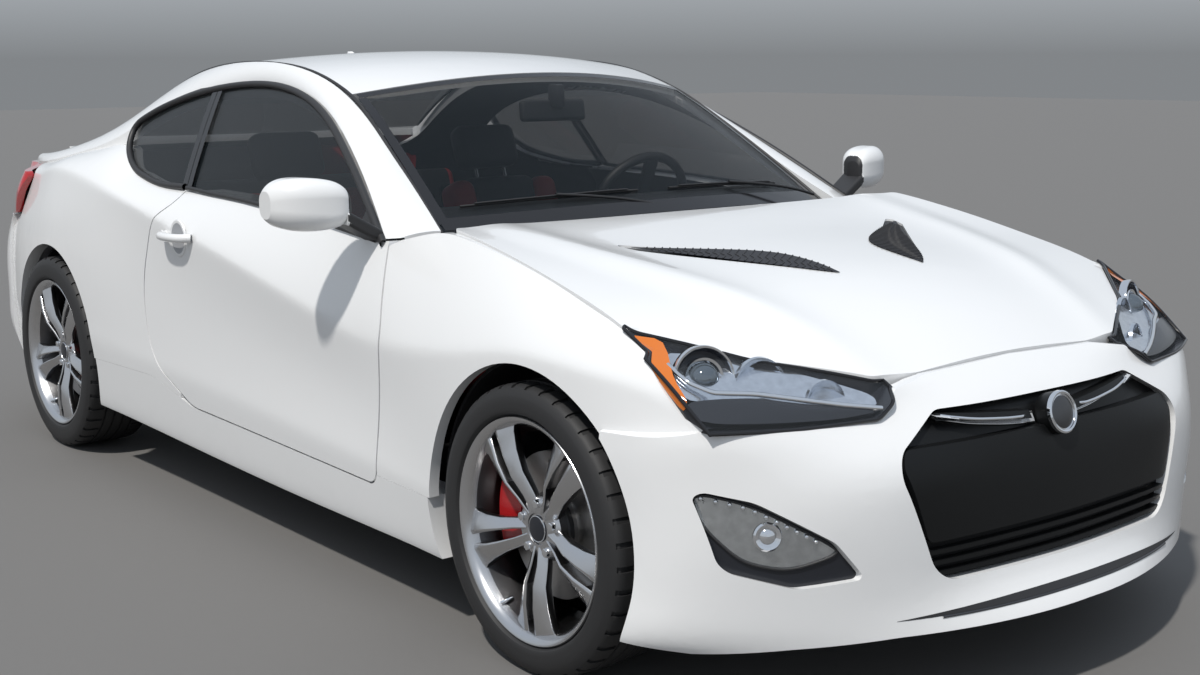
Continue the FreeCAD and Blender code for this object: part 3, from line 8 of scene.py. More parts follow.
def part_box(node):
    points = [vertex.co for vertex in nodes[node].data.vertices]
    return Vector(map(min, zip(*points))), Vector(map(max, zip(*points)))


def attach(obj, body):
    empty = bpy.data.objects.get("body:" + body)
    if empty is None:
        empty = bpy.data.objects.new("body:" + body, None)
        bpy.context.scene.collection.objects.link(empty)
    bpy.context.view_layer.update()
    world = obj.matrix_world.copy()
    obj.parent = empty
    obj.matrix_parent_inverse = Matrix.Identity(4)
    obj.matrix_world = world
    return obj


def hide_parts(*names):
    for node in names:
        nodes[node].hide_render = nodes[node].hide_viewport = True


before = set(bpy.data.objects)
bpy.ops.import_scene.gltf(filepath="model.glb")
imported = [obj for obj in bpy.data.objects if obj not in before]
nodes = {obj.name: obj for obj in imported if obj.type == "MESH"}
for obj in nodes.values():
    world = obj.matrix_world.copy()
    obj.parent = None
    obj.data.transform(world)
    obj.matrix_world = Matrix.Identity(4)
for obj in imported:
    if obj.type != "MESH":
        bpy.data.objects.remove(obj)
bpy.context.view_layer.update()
scene = bpy.context.scene
print("frame loaded")

# The camera stands where the photograph was taken from
view = {"place": (4.2601, -2.9062, 1.3640), "turns": ((51.4914, "Z"), (80.0855, "X"), (-0.2765, "Z")), "lens": 48.31}
camera = bpy.data.objects.new("camera", bpy.data.cameras.new("camera"))
scene.collection.objects.link(camera)
turn = Matrix.Identity(4)
for degrees, axis in view["turns"]:
    turn = turn @ Matrix.Rotation(math.radians(degrees), 4, axis)
camera.matrix_world = Matrix.Translation(view["place"]) @ turn
camera.data.lens = view["lens"]
camera.data.sensor_width = 36
scene.camera = camera


# Material groups
def grainGroup():
    group = bpy.data.node_groups.new("grain", "ShaderNodeTree")
    for name, kind, value in (("Size", "NodeSocketFloat", 300.0), ("Depth", "NodeSocketFloat", 0.2)):
        socket = group.interface.new_socket(name=name, in_out="INPUT", socket_type=kind)
        socket.default_value = value
    group.interface.new_socket(name="Normal", in_out="OUTPUT", socket_type="NodeSocketVector")
    group.interface.new_socket(name="Mask", in_out="OUTPUT", socket_type="NodeSocketFloat")
    inside, outside = group.nodes.new("NodeGroupInput"), group.nodes.new("NodeGroupOutput")
    place = group.nodes.new("ShaderNodeTexCoord")
    noise = group.nodes.new("ShaderNodeTexNoise")
    noise.inputs["Detail"].default_value = 4
    bump = group.nodes.new("ShaderNodeBump")
    bump.inputs["Distance"].default_value = 0.0004
    group.links.new(place.outputs["Object"], noise.inputs["Vector"])
    group.links.new(inside.outputs["Size"], noise.inputs["Scale"])
    group.links.new(inside.outputs["Depth"], bump.inputs["Strength"])
    group.links.new(noise.outputs["Fac"], bump.inputs["Height"])
    group.links.new(bump.outputs["Normal"], outside.inputs["Normal"])
    group.links.new(noise.outputs["Fac"], outside.inputs["Mask"])
    return group


grain = grainGroup()


def newMaterial(name, colour, rough, metallic=0.0, grainSize=300.0, grainDepth=0.1, vary=0.06, **more):
    material = bpy.data.materials.new(name)
    material.use_nodes = True
    tree = material.node_tree
    shader = tree.nodes["Principled BSDF"]
    shader.inputs["Metallic"].default_value = metallic
    for key, value in more.items():
        shader.inputs[key.replace("_", " ")].default_value = value
    surfaceGrain = tree.nodes.new("ShaderNodeGroup")
    surfaceGrain.node_tree = grain
    surfaceGrain.inputs["Size"].default_value = grainSize
    surfaceGrain.inputs["Depth"].default_value = grainDepth
    tree.links.new(surfaceGrain.outputs["Normal"], shader.inputs["Normal"])
    tone = tree.nodes.new("ShaderNodeMix")
    tone.data_type = "RGBA"
    tone.inputs[6].default_value = (*[max(0, c * (1 - vary)) for c in colour], 1)
    tone.inputs[7].default_value = (*[min(1, c * (1 + vary)) for c in colour], 1)
    tree.links.new(surfaceGrain.outputs["Mask"], tone.inputs["Factor"])
    tree.links.new(tone.outputs[2], shader.inputs["Base Color"])
    shine = tree.nodes.new("ShaderNodeMapRange")
    shine.inputs["To Min"].default_value = max(0.0, rough * 0.9)
    shine.inputs["To Max"].default_value = min(1.0, rough * 1.1 + 0.005)
    tree.links.new(surfaceGrain.outputs["Mask"], shine.inputs["Value"])
    tree.links.new(shine.outputs["Result"], shader.inputs["Roughness"])
    return material


whitePaint = newMaterial("whitePaint", (0.80, 0.805, 0.81), 0.32, grainSize=1500, grainDepth=0.01, vary=0.004,
                         Coat_Weight=1.0, Coat_Roughness=0.02)
blackGloss = newMaterial("blackGloss", (0.012, 0.012, 0.014), 0.12, grainSize=900, grainDepth=0.01)
blackPlastic = newMaterial("blackPlastic", (0.022, 0.022, 0.024), 0.5, grainSize=1400, grainDepth=0.25)
grilleBlack = newMaterial("grilleBlack", (0.006, 0.0065, 0.007), 0.38, grainSize=1200, grainDepth=0.1,
                          Specular_IOR_Level=0.25)
rubber = newMaterial("rubber", (0.018, 0.018, 0.019), 0.62, grainSize=700, grainDepth=0.3, vary=0.2)
hyperSilver = newMaterial("hyperSilver", (0.62, 0.62, 0.63), 0.24, metallic=1.0, grainSize=1600, grainDepth=0.02,
                          Coat_Weight=0.5)
darkSilver = newMaterial("darkSilver", (0.13, 0.13, 0.135), 0.3, metallic=1.0, grainSize=1500, grainDepth=0.03)
chrome = newMaterial("chrome", (0.83, 0.84, 0.86), 0.05, metallic=1.0, grainSize=500, grainDepth=0.0)
brakeSteel = newMaterial("brakeSteel", (0.42, 0.41, 0.40), 0.35, metallic=1.0, grainSize=500, grainDepth=0.3)
castIron = newMaterial("castIron", (0.06, 0.06, 0.062), 0.6, metallic=0.6, grainSize=400, grainDepth=0.5)
exhaustSteel = newMaterial("exhaustSteel", (0.45, 0.45, 0.46), 0.25, metallic=1.0, grainSize=600, grainDepth=0.1)
underCoat = newMaterial("underCoat", (0.025, 0.025, 0.026), 0.8, grainSize=250, grainDepth=0.6, vary=0.2)
redCaliper = newMaterial("redCaliper", (0.42, 0.015, 0.018), 0.25, grainSize=800, grainDepth=0.05, Coat_Weight=0.6)
redLeather = newMaterial("redLeather", (0.55, 0.045, 0.045), 0.5, grainSize=600, grainDepth=0.10, vary=0.12)
blackLeather = newMaterial("blackLeather", (0.022, 0.022, 0.023), 0.5, grainSize=600, grainDepth=0.15, vary=0.12)
headliner = newMaterial("headliner", (0.030, 0.030, 0.032), 0.9, grainSize=2500, grainDepth=0.05)
lampBlack = newMaterial("lampBlack", (0.016, 0.018, 0.024), 0.22, grainSize=600, grainDepth=0.02)
amber = newMaterial("amber", (0.62, 0.16, 0.015), 0.12, grainSize=700, grainDepth=0.1, Coat_Weight=0.5)
redLens = newMaterial("redLens", (0.42, 0.012, 0.014), 0.08, grainSize=600, grainDepth=0.02, Coat_Weight=1.0)
mirrorGlass = newMaterial("mirrorGlass", (0.85, 0.87, 0.88), 0.01, metallic=1.0, grainDepth=0.0)


def seeThrough(name, colour, opacity, rough=0.02):
    material = newMaterial(name, colour, rough, grainSize=40, grainDepth=0.0, vary=0.02)
    material.node_tree.nodes["Principled BSDF"].inputs["Alpha"].default_value = opacity
    return material


sideGlass = seeThrough("sideGlass", (0.006, 0.009, 0.011), 0.50)
frontGlass = seeThrough("frontGlass", (0.006, 0.010, 0.013), 0.28)
lampGlass = seeThrough("lampGlass", (0.40, 0.44, 0.48), 0.04)
print("materials made")

# Finish of the CAD nodes that stay
finishes = {
    "front_fenders": whitePaint, "rear_quarters": whitePaint, "side_skirts": whitePaint, "roof_rails": whitePaint,
    "roof_panel": whitePaint, "hood": whitePaint, "front_bumper": whitePaint, "rear_bumper": whitePaint,
    "trunk_lid": whitePaint, "door_left": whitePaint, "door_right": whitePaint, "mirror_left": whitePaint,
    "mirror_right": whitePaint, "antenna_fin": whitePaint, "windshield": frontGlass, "rear_window": sideGlass,
    "door_glass_left": sideGlass, "door_glass_right": sideGlass, "quarter_windows": sideGlass,
    "hood_vents": blackPlastic, "cowl_panel": blackPlastic, "wipers": blackPlastic, "dashboard": blackPlastic,
    "steering_wheel": blackLeather, "underbody": underCoat, "engine_block": castIron, "front_subframe": castIron,
    "rear_subframe": castIron, "exhaust": exhaustSteel, "front_knuckle_left": castIron,
    "front_knuckle_right": castIron, "rear_knuckles": castIron, "grille": grilleBlack, "headlamps": lampGlass,
    "tail_lamps": redLens, "fog_lamps": lampBlack, "front_seats": redLeather, "rear_seat": redLeather,
}
for name, node in nodes.items():
    node.data.materials.clear()
    node.data.materials.append(finishes.get(name, blackPlastic))


# Modelling steps
def only(piece):
    bpy.ops.object.select_all(action="DESELECT")
    piece.select_set(True)
    bpy.context.view_layer.objects.active = piece


def edit(kind="FACE"):
    bpy.ops.object.mode_set(mode="EDIT")
    bpy.ops.mesh.select_mode(type=kind)


def done():
    bpy.ops.object.mode_set(mode="OBJECT")


def pick(piece, test):
    """Selects the faces whose centre and normal pass the test."""
    done()
    for item in piece.data.vertices:
        item.select = False
    for item in piece.data.edges:
        item.select = False
    for face in piece.data.polygons:
        face.select = test(face.center, face.normal)
    edit()


def finish(piece, material, body, angle=40):
    """Smooth shading, finish and the body that carries the piece."""
    only(piece)
    bpy.ops.object.transform_apply(location=True, rotation=True, scale=True)
    bpy.ops.object.shade_smooth_by_angle(angle=math.radians(angle))
    if not piece.data.materials:
        piece.data.materials.append(material)
    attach(piece, body)
    return piece


def modify(piece, kind, **values):
    only(piece)
    modifier = piece.modifiers.new(kind, kind)
    for key, value in values.items():
        setattr(modifier, key, value)
    bpy.ops.object.modifier_apply(modifier=modifier.name)


def spun(name, profile, steps=96):
    """A ring about the wheel axle from (radius, depth) points: one vertex, extruded and spun."""
    bpy.ops.object.select_all(action="DESELECT")
    bpy.ops.mesh.primitive_plane_add(size=0.01)
    piece = bpy.context.object
    piece.name = name
    edit("VERT")
    bpy.ops.mesh.select_all(action="SELECT")
    bpy.ops.mesh.merge(type="CENTER")
    bpy.ops.transform.translate(value=(profile[0][0], profile[0][1], 0))
    for before, after in zip(profile, profile[1:]):
        bpy.ops.mesh.extrude_vertices_move(TRANSFORM_OT_translate={
            "value": (after[0] - before[0], after[1] - before[1], 0)})
    bpy.ops.mesh.select_all(action="SELECT")
    bpy.ops.mesh.spin(steps=steps, angle=2 * math.pi, center=(0, 0, 0), axis=(0, 1, 0))
    bpy.ops.mesh.select_all(action="SELECT")
    bpy.ops.mesh.remove_doubles(threshold=0.00001)
    bpy.ops.mesh.normals_make_consistent(inside=False)
    done()
    return piece


def lofted(name, section, stations):
    """A bar drawn by extruding a section: each station is (centre, width, depth), along Z."""
    bpy.ops.object.select_all(action="DESELECT")
    bpy.ops.mesh.primitive_circle_add(vertices=len(section), radius=0.01, fill_type="NGON")
    piece = bpy.context.object
    piece.name = name
    centre, wide, deep = stations[0]
    for vertex, (x, y) in zip(piece.data.vertices, section):
        vertex.co = (centre[0] + x * wide, centre[1] + y * deep, centre[2])
    edit()
    bpy.ops.mesh.select_all(action="SELECT")
    for (start, w0, d0), (end, w1, d1) in zip(stations, stations[1:]):
        bpy.ops.mesh.extrude_region_move(TRANSFORM_OT_translate={"value": [e - s for s, e in zip(start, end)]})
        bpy.ops.transform.resize(value=(w1 / w0, d1 / d0, 1), center_override=end)
    bpy.ops.mesh.select_all(action="SELECT")
    bpy.ops.mesh.normals_make_consistent(inside=False)
    done()
    return piece


def join(name, pieces):
    bpy.ops.object.select_all(action="DESELECT")
    for piece in pieces:
        piece.select_set(True)
    bpy.context.view_layer.objects.active = pieces[0]
    bpy.ops.object.join()
    pieces[0].name = name
    return pieces[0]


def copyOf(piece, name, mirror=False, move=(0, 0, 0)):
    """A copy with its own mesh, mirrored across the car if asked."""
    twin = piece.copy()
    twin.data = piece.data.copy()
    twin.name = name
    twin.parent = None
    scene.collection.objects.link(twin)
    twin.hide_render = twin.hide_viewport = False
    twin.hide_set(False)
    only(twin)
    twin.location = move
    if mirror:
        twin.scale = (1, -1, 1)
    bpy.ops.object.transform_apply(location=True, rotation=True, scale=True)
    if mirror:
        edit()
        bpy.ops.mesh.select_all(action="SELECT")
        bpy.ops.mesh.flip_normals()
        done()
    return twin


def turned(piece, degrees, axis="Y", centre=(0, 0, 0)):
    only(piece)
    shift = Matrix.Translation(centre) @ Matrix.Rotation(math.radians(degrees), 4, axis) @ Matrix.Translation(
        [-c for c in centre])
    piece.matrix_world = shift @ piece.matrix_world
    bpy.ops.object.transform_apply(location=True, rotation=True, scale=True)
    return piece


def paintWhere(piece, material, test):
    """Gives another finish to the faces whose centre and normal pass the test."""
    piece.data.materials.append(material)
    slot = len(piece.data.materials) - 1
    for face in piece.data.polygons:
        if test(face.center, face.normal):
            face.material_index = slot


def wireTrim(name, points, radius, material, body, closed=False, flat=1.0):
    """A moulding or seal along points, as a smooth curve with a round section."""
    line = bpy.data.curves.new(name, "CURVE")
    line.dimensions = "3D"
    spline = line.splines.new("NURBS")
    spline.points.add(len(points) - 1)
    for knot, point in zip(spline.points, points):
        knot.co = (*point, 1)
    spline.order_u = 3
    spline.use_endpoint_u = not closed
    spline.use_cyclic_u = closed
    line.bevel_depth = radius
    line.bevel_resolution = 3
    line.resolution_u = 8
    piece = bpy.data.objects.new(name, line)
    scene.collection.objects.link(piece)
    only(piece)
    bpy.ops.object.convert(target="MESH")
    piece = bpy.context.object
    piece.name = name
    return finish(piece, material, body)


# Tyres: a worn-in road tread with four grooves, cut shoulders and ribbed walls
tyreShape = {"grooves": (-0.052, -0.018, 0.018, 0.052), "grooveWidth": 0.009, "grooveDepth": 0.007,
             "bead": 0.2425, "steps": 120}


def tyreProfile(radius, width):
    half = width / 2
    wall = [(tyreShape["bead"], half - 0.020), (0.2585, half - 0.0155), (0.262, half - 0.009), (0.266, half - 0.003),
            (0.272, half - 0.0005), (0.280, half - 0.0012), (0.284, half - 0.0008), (radius - 0.030, half - 0.002),
            (radius - 0.026, half - 0.0035), (radius - 0.012, half - 0.009), (radius - 0.005, half - 0.017)]
    crown = []
    for groove in reversed(tyreShape["grooves"]):
        edge = tyreShape["grooveWidth"] / 2
        lift = radius - 0.0006 - 0.0016 * (groove / half) ** 2
        crown += [(lift, groove + edge), (lift - tyreShape["grooveDepth"], groove + edge * 0.6),
                  (lift - tyreShape["grooveDepth"], groove - edge * 0.6), (lift, groove - edge)]
    return wall + [(radius - 0.002, half - 0.030)] + crown + [(radius - 0.002, -half + 0.030)] + [
        (r, -y) for r, y in reversed(wall)] + [(tyreShape["bead"], half - 0.020)]


def makeTyre(name, radius, width):
    tyre = spun(name, tyreProfile(radius, width), tyreShape["steps"])
    stepAngle = 2 * math.pi / tyreShape["steps"]

    def shoulder(centre, normal):
        count = int((math.atan2(centre.x, centre.z) + math.pi) / stepAngle)
        reach = math.hypot(centre.x, centre.z)
        return count % 3 == 0 and reach > radius - 0.010 and abs(centre.y) > tyreShape["grooves"][-1] + 0.006
    pick(tyre, shoulder)
    bpy.ops.mesh.inset(thickness=0.002)
    bpy.ops.mesh.extrude_region_shrink_fatten(TRANSFORM_OT_shrink_fatten={"value": -0.005})
    done()
    return tyre


# Wheels: five split double spokes, a dished hub with five nuts and a plain cap
wheelShape = {
    "rim": 0.258, "seat": 0.241, "well": 0.216, "spokes": 5, "nutCircle": 0.0571, "nut": 0.011, "cap": 0.029,
    "section": ((-0.5, 0.42), (-0.34, 0.5), (0.5, 0.02), (0.5, -0.5), (-0.5, -0.5)),
    # centre across, depth below the rim's face, distance out, width, depth
    "leg": ((0.016, 0.046, 0.040, 0.024, 0.026), (0.021, 0.040, 0.080, 0.024, 0.030),
            (0.026, 0.028, 0.125, 0.028, 0.036), (0.032, 0.026, 0.175, 0.038, 0.036),
            (0.037, 0.029, 0.212, 0.050, 0.034), (0.046, 0.031, 0.238, 0.070, 0.034)),
}


def makeWheel(name, width):
    half = width / 2 - 0.007
    rim, seat, well = wheelShape["rim"], wheelShape["seat"], wheelShape["well"]
    barrel = spun(name + "Barrel", [
        (rim, half - 0.008), (rim + 0.0002, half - 0.003), (rim - 0.002, half), (rim - 0.006, half - 0.001),
        (seat + 0.004, half - 0.006), (seat - 0.004, half - 0.016), (seat - 0.006, half - 0.034),
        (well, half - 0.062), (well, -half + 0.060), (seat - 0.008, -half + 0.030), (seat - 0.008, -half),
        (rim, -half), (rim, -half + 0.008), (seat, -half + 0.012), (seat, -half + 0.032),
        (well + 0.008, -half + 0.060), (well + 0.008, half - 0.060), (seat, half - 0.034), (seat, half - 0.012),
        (rim, half - 0.008)])
    parts = [barrel]
    for i in range(wheelShape["spokes"]):
        for side in (1, -1):
            leg = lofted(name + "Leg", wheelShape["section"],
                         [((x, half - drop, out), w, d) for x, drop, out, w, d in wheelShape["leg"]])
            modify(leg, "BEVEL", width=0.0016, segments=2, limit_method="ANGLE")
            if side < 0:
                leg.scale = (-1, 1, 1)
                only(leg)
                bpy.ops.object.transform_apply(scale=True)
                edit()
                bpy.ops.mesh.select_all(action="SELECT")
                bpy.ops.mesh.flip_normals()
                done()
            turned(leg, 180 + 360 * i / wheelShape["spokes"])
            parts.append(leg)
    face = half - 0.036
    parts.append(spun(name + "Hub", [
        (0.0005, face - 0.004), (0.034, face - 0.004), (0.036, face), (0.044, face + 0.001), (0.066, face - 0.003),
        (0.073, face - 0.012), (0.074, face - 0.034), (0.0005, face - 0.036)], 60))
    wheel = join(name, parts)
    wheel.data.materials.clear()
    wheel.data.materials.append(hyperSilver)
    paintWhere(wheel, darkSilver, lambda c, n: math.hypot(c.x, c.z) > 0.2 and c.y < half - 0.03 or
               (math.hypot(c.x, c.z) < seat - 0.002 and abs(n.y) < 0.25 and c.y < half - 0.035))
    trim = []
    for i in range(wheelShape["spokes"]):
        angle = 2 * math.pi * (i + 0.5) / wheelShape["spokes"] + math.pi
        x, z = wheelShape["nutCircle"] * math.sin(angle), wheelShape["nutCircle"] * math.cos(angle)
        bpy.ops.mesh.primitive_cylinder_add(vertices=6, radius=wheelShape["nut"], depth=0.02,
                                            location=(x, face - 0.003, z), rotation=(math.pi / 2, 0, 0))
        nut = bpy.context.object
        modify(nut, "BEVEL", width=0.002, segments=2)
        nut.data.materials.append(chrome)
        trim.append(nut)
    cap = spun(name + "Cap", [(0.0005, face + 0.004), (0.020, face + 0.0035), (0.027, face + 0.002),
                              (0.0305, face - 0.004), (0.0005, face - 0.006)], 48)
    cap.data.materials.append(lampBlack)
    bpy.ops.mesh.primitive_torus_add(major_radius=0.029, minor_radius=0.0014, location=(0, face + 0.0005, 0),
                                     rotation=(math.pi / 2, 0, 0), major_segments=48, minor_segments=8)
    ring = bpy.context.object
    ring.data.materials.append(chrome)
    bpy.ops.mesh.primitive_cylinder_add(vertices=16, radius=0.0045, depth=0.032,
                                        location=(-0.115, half - 0.032, -0.195), rotation=(math.radians(68), 0, 0.4))
    valve = bpy.context.object
    modify(valve, "BEVEL", width=0.0015, segments=2)
    valve.data.materials.append(chrome)
    disc = spun(name + "Disc", [
        (0.072, half - 0.085), (0.080, half - 0.080), (0.082, half - 0.088), (0.168, half - 0.0845),
        (0.168, half - 0.094), (0.163, half - 0.094), (0.163, half - 0.102), (0.168, half - 0.102),
        (0.168, half - 0.111), (0.095, half - 0.111), (0.072, half - 0.085)], 96)
    disc.data.materials.append(brakeSteel)
    bell = spun(name + "Bell", [(0.074, half - 0.088), (0.079, half - 0.088), (0.078, half - 0.070),
                                (0.074, half - 0.066)], 64)
    bell.data.materials.append(castIron)
    return join(name, [wheel, cap, ring, valve, disc, bell] + trim)


for axle in ("front", "rear"):
    low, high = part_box("tyre_%s_left" % axle)
    centre = (low + high) / 2
    radius = (high.z - low.z) / 2
    width = high.y - low.y
    tyre = makeTyre("tyre.%s" % axle, radius, width)
    wheel = makeWheel("wheel.%s" % axle, width)
    for side, mirror in (("left", False), ("right", True)):
        place = (centre.x, -centre.y if mirror else centre.y, centre.z)
        for what, source, material, angle in (("tyre", tyre, rubber, 30), ("wheel", wheel, hyperSilver, 35)):
            twin = copyOf(source, "%s.%s.%s" % (what, axle, side), mirror)
            twin.location = place
            finish(twin, material, "%s_wheel_%s" % (axle, side), angle)
            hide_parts("%s_%s_%s" % (what, axle, side))
    bpy.data.objects.remove(tyre)
    bpy.data.objects.remove(wheel)
print("wheels done")

# Lines and patches laid on the CAD surfaces
surfaces = {}


def meets(names, start, way):
    """Where a straight line first meets one of the nodes, and the surface normal there."""
    found = None
    for name in names:
        if name not in surfaces:
            mesh = nodes[name].data
            surfaces[name] = BVHTree.FromPolygons([v.co for v in mesh.vertices], [f.vertices for f in mesh.polygons])
        spot, normal = surfaces[name].ray_cast(Vector(start), Vector(way))[:2]
        if spot and (found is None or (spot - Vector(start)).length < (found[0] - Vector(start)).length):
            found = (spot, normal if normal.dot(Vector(way)) < 0 else -normal)
    return found


def fromFront(names):
    return lambda y, z: meets(names, (3, y, z), (-1, 0, 0))


def fromSide(names, side):
    return lambda x, z: meets(names, (x, 1.5 * side, z), (0, -side, 0))


def fromRear(names):
    return lambda y, z: meets(names, (-3, y, z), (1, 0, 0))


def fromInside(names):
    return lambda y, z: meets(names, (0, y, z), (1, 0, 0))


def fromAbove(names):
    return lambda x, y: meets(names, (x, y, 2), (0, 0, -1))


def softCorners(outline, rounds=2):
    for _ in range(rounds):
        cut = []
        for i, point in enumerate(outline):
            after = outline[(i + 1) % len(outline)]
            cut.append([0.8 * a + 0.2 * b for a, b in zip(point, after)])
            cut.append([0.2 * a + 0.8 * b for a, b in zip(point, after)])
        outline = cut
    return outline


def between(points, count):
    """Evenly spaced points along a broken line."""
    runs = [math.dist(a, b) for a, b in zip(points, points[1:])]
    total, out = sum(runs), []
    for i in range(count):
        goal, k = total * i / (count - 1), 0
        while k < len(runs) - 1 and goal > runs[k]:
            goal -= runs[k]
            k += 1
        share = min(1, goal / runs[k])
        out.append([a + (b - a) * share for a, b in zip(points[k], points[k + 1])])
    return out


def softLine(points, rounds=2):
    """A broken line with its corners cut, ends kept."""
    for _ in range(rounds):
        cut = [points[0]]
        for before, after in zip(points, points[1:]):
            cut.append([0.75 * a + 0.25 * b for a, b in zip(before, after)])
            cut.append([0.25 * a + 0.75 * b for a, b in zip(before, after)])
        points = cut + [points[-1]]
    return points


def laid(points, cast, lift):
    """Points cast onto a surface and lifted off it; a point that misses is left out."""
    found = [cast(*point) for point in points]
    return [spot + normal * lift for spot, normal in [hit for hit in found if hit]]


def sheetOf(name, rows, material, body, closed=False, cap=False):
    """A skin over rows of points, each row as long as the next."""
    vertices = [tuple(point) for row in rows for point in row]
    count = len(rows[0])
    last = count if closed else count - 1
    faces = [(r * count + i, r * count + (i + 1) % count, (r + 1) * count + (i + 1) % count, (r + 1) * count + i)
             for r in range(len(rows) - 1) for i in range(last)]
    if cap:
        faces.append([(len(rows) - 1) * count + i for i in range(count)])
    mesh = bpy.data.meshes.new(name)
    mesh.from_pydata(vertices, [], faces)
    piece = bpy.data.objects.new(name, mesh)
    scene.collection.objects.link(piece)
    only(piece)
    edit()
    bpy.ops.mesh.select_all(action="SELECT")
    bpy.ops.mesh.normals_make_consistent(inside=False)
    done()
    return finish(piece, material, body)


def patch(name, outline, cast, lift, material, body, dome=0.0, rings=5, soft=2):
    """A thin cover over an outline, laid on a CAD surface and domed towards its middle."""
    outline = softCorners(outline, soft)
    middle = [sum(point[i] for point in outline) / len(outline) for i in (0, 1)]
    rows, held = [], None
    for ring in range(rings + 1):
        share = max(0.02, 1 - ring / rings)
        row = []
        for point in outline:
            found = cast(*[m + (p - m) * share for p, m in zip(point, middle)]) or held
            held = found
            row.append(found[0] + found[1] * (lift + dome * (1 - share * share)))
        rows.append(row)
    return sheetOf(name, rows, material, body, closed=True, cap=True)


def band(name, outer, inner, cast, lift, material, body, steps=3):
    """A strip between two lines on a surface."""
    rows = []
    for share in [i / steps for i in range(steps + 1)]:
        row = []
        for a, b in zip(outer, inner):
            found = cast(*[p + (q - p) * share for p, q in zip(a, b)])
            if found:
                row.append(found[0] + found[1] * lift)
            elif row:
                row.append(row[-1])
        rows.append(row)
    if min(len(row) for row in rows) == max(len(row) for row in rows):
        return sheetOf(name, rows, material, body)
    print("band left out", name)
    return None


def aimed(piece, place, facing):
    """Stands a piece made about +Y at a place, looking along a direction."""
    only(piece)
    piece.matrix_world = Matrix.Translation(place) @ Vector(facing).to_track_quat("Y", "Z").to_matrix().to_4x4() @ \
        piece.matrix_world
    bpy.ops.object.transform_apply(location=True, rotation=True, scale=True)
    return piece


def softBox(name, size, width=0.01, segments=3):
    bpy.ops.object.select_all(action="DESELECT")
    bpy.ops.mesh.primitive_cube_add(size=1)
    piece = bpy.context.object
    piece.name = name
    piece.scale = size
    bpy.ops.object.transform_apply(scale=True)
    modify(piece, "BEVEL", width=width, segments=segments)
    return piece


def bothSides(piece, material, bodies, angle=40):
    """The piece on its side, and its mirror image on the other; bodies are (as built, mirrored)."""
    name = piece.name
    twin = copyOf(piece, name + ".twin", True)
    finish(twin, material, bodies[1], angle)
    return [finish(piece, material, bodies[0], angle), twin]


# Headlamps: clear cover and dark housing from the CAD form, lamps inside
def lampCover(centre, normal):
    return normal.x > 0.03


for name, keepCover, material in (("lampCover", True, lampGlass), ("lampHousing", False, lampBlack)):
    piece = copyOf(nodes["headlamps"], name)
    pick(piece, lambda c, n: lampCover(c, n) != keepCover)
    bpy.ops.mesh.delete(type="FACE")
    done()
    piece.data.materials.clear()
    finish(piece, material, "body", 30)
    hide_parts("headlamps")
    if keepCover:
        seal = copyOf(piece, "lampSeal")
        edit("EDGE")
        bpy.ops.mesh.select_all(action="DESELECT")
        bpy.ops.mesh.select_non_manifold()
        bpy.ops.mesh.select_all(action="INVERT")
        bpy.ops.mesh.delete(type="EDGE")
        done()
        bpy.ops.object.convert(target="CURVE")
        seal = bpy.context.object
        seal.data.bevel_depth = 0.0042
        seal.data.bevel_resolution = 2
        bpy.ops.object.convert(target="MESH")
        seal = bpy.context.object
        seal.data.materials.clear()
        finish(seal, blackGloss, "body")

lampFacing = Vector((0.93, -0.3, 0.16))
projectorPlace = (1.884, -0.748, 0.718)
lens = spun("projectorLens", [(0.0005, 0.030), (0.012, 0.028), (0.023, 0.021), (0.031, 0.010), (0.034, 0.0)], 48)
lens.data.materials.append(newMaterial("lensGlass", (0.16, 0.19, 0.22), 0.04, metallic=0.7, grainDepth=0.0))
barrel = spun("projectorBarrel", [(0.035, -0.004), (0.0375, 0.004), (0.043, 0.006), (0.046, 0.001),
                                  (0.046, -0.02)], 48)
barrel.data.materials.append(chrome)
cone = spun("projectorCone", [(0.046, -0.008), (0.056, -0.006), (0.062, 0.004)], 64)
cone.data.materials.append(lampBlack)
halo = spun("projectorHalo", [(0.061, 0.0), (0.063, 0.007), (0.067, 0.008), (0.069, 0.002), (0.068, -0.012)], 64)
halo.data.materials.append(chrome)
unit = aimed(join("projector", [lens, barrel, cone, halo]), projectorPlace, lampFacing)
bothSides(unit, chrome, ("body", "body"))
reflector = newMaterial("reflector", (0.66, 0.70, 0.76), 0.14, metallic=0.95, grainSize=55, grainDepth=1.0, vary=0.2)
for name, place, scale in (("highBeam", (1.938, -0.640, 0.698), 1.3), ("dayBeam", (2.034, -0.548, 0.668), 1.0)):
    bowl = spun(name, [(0.006, -0.026), (0.018, -0.024), (0.032, -0.012), (0.041, 0.002), (0.044, 0.004),
                       (0.046, -0.004)], 48)
    bowl.data.materials.append(reflector)
    bulb = spun(name + "Bulb", [(0.0005, 0.004), (0.006, 0.001), (0.007, -0.02)], 24)
    bulb.data.materials.append(mirrorGlass)
    bowl = join(name, [bowl, bulb])
    bowl.scale = (scale, scale, scale)
    bothSides(aimed(bowl, place, lampFacing), chrome, ("body", "body"))
frontOfLamp = fromFront(["headlamps"])
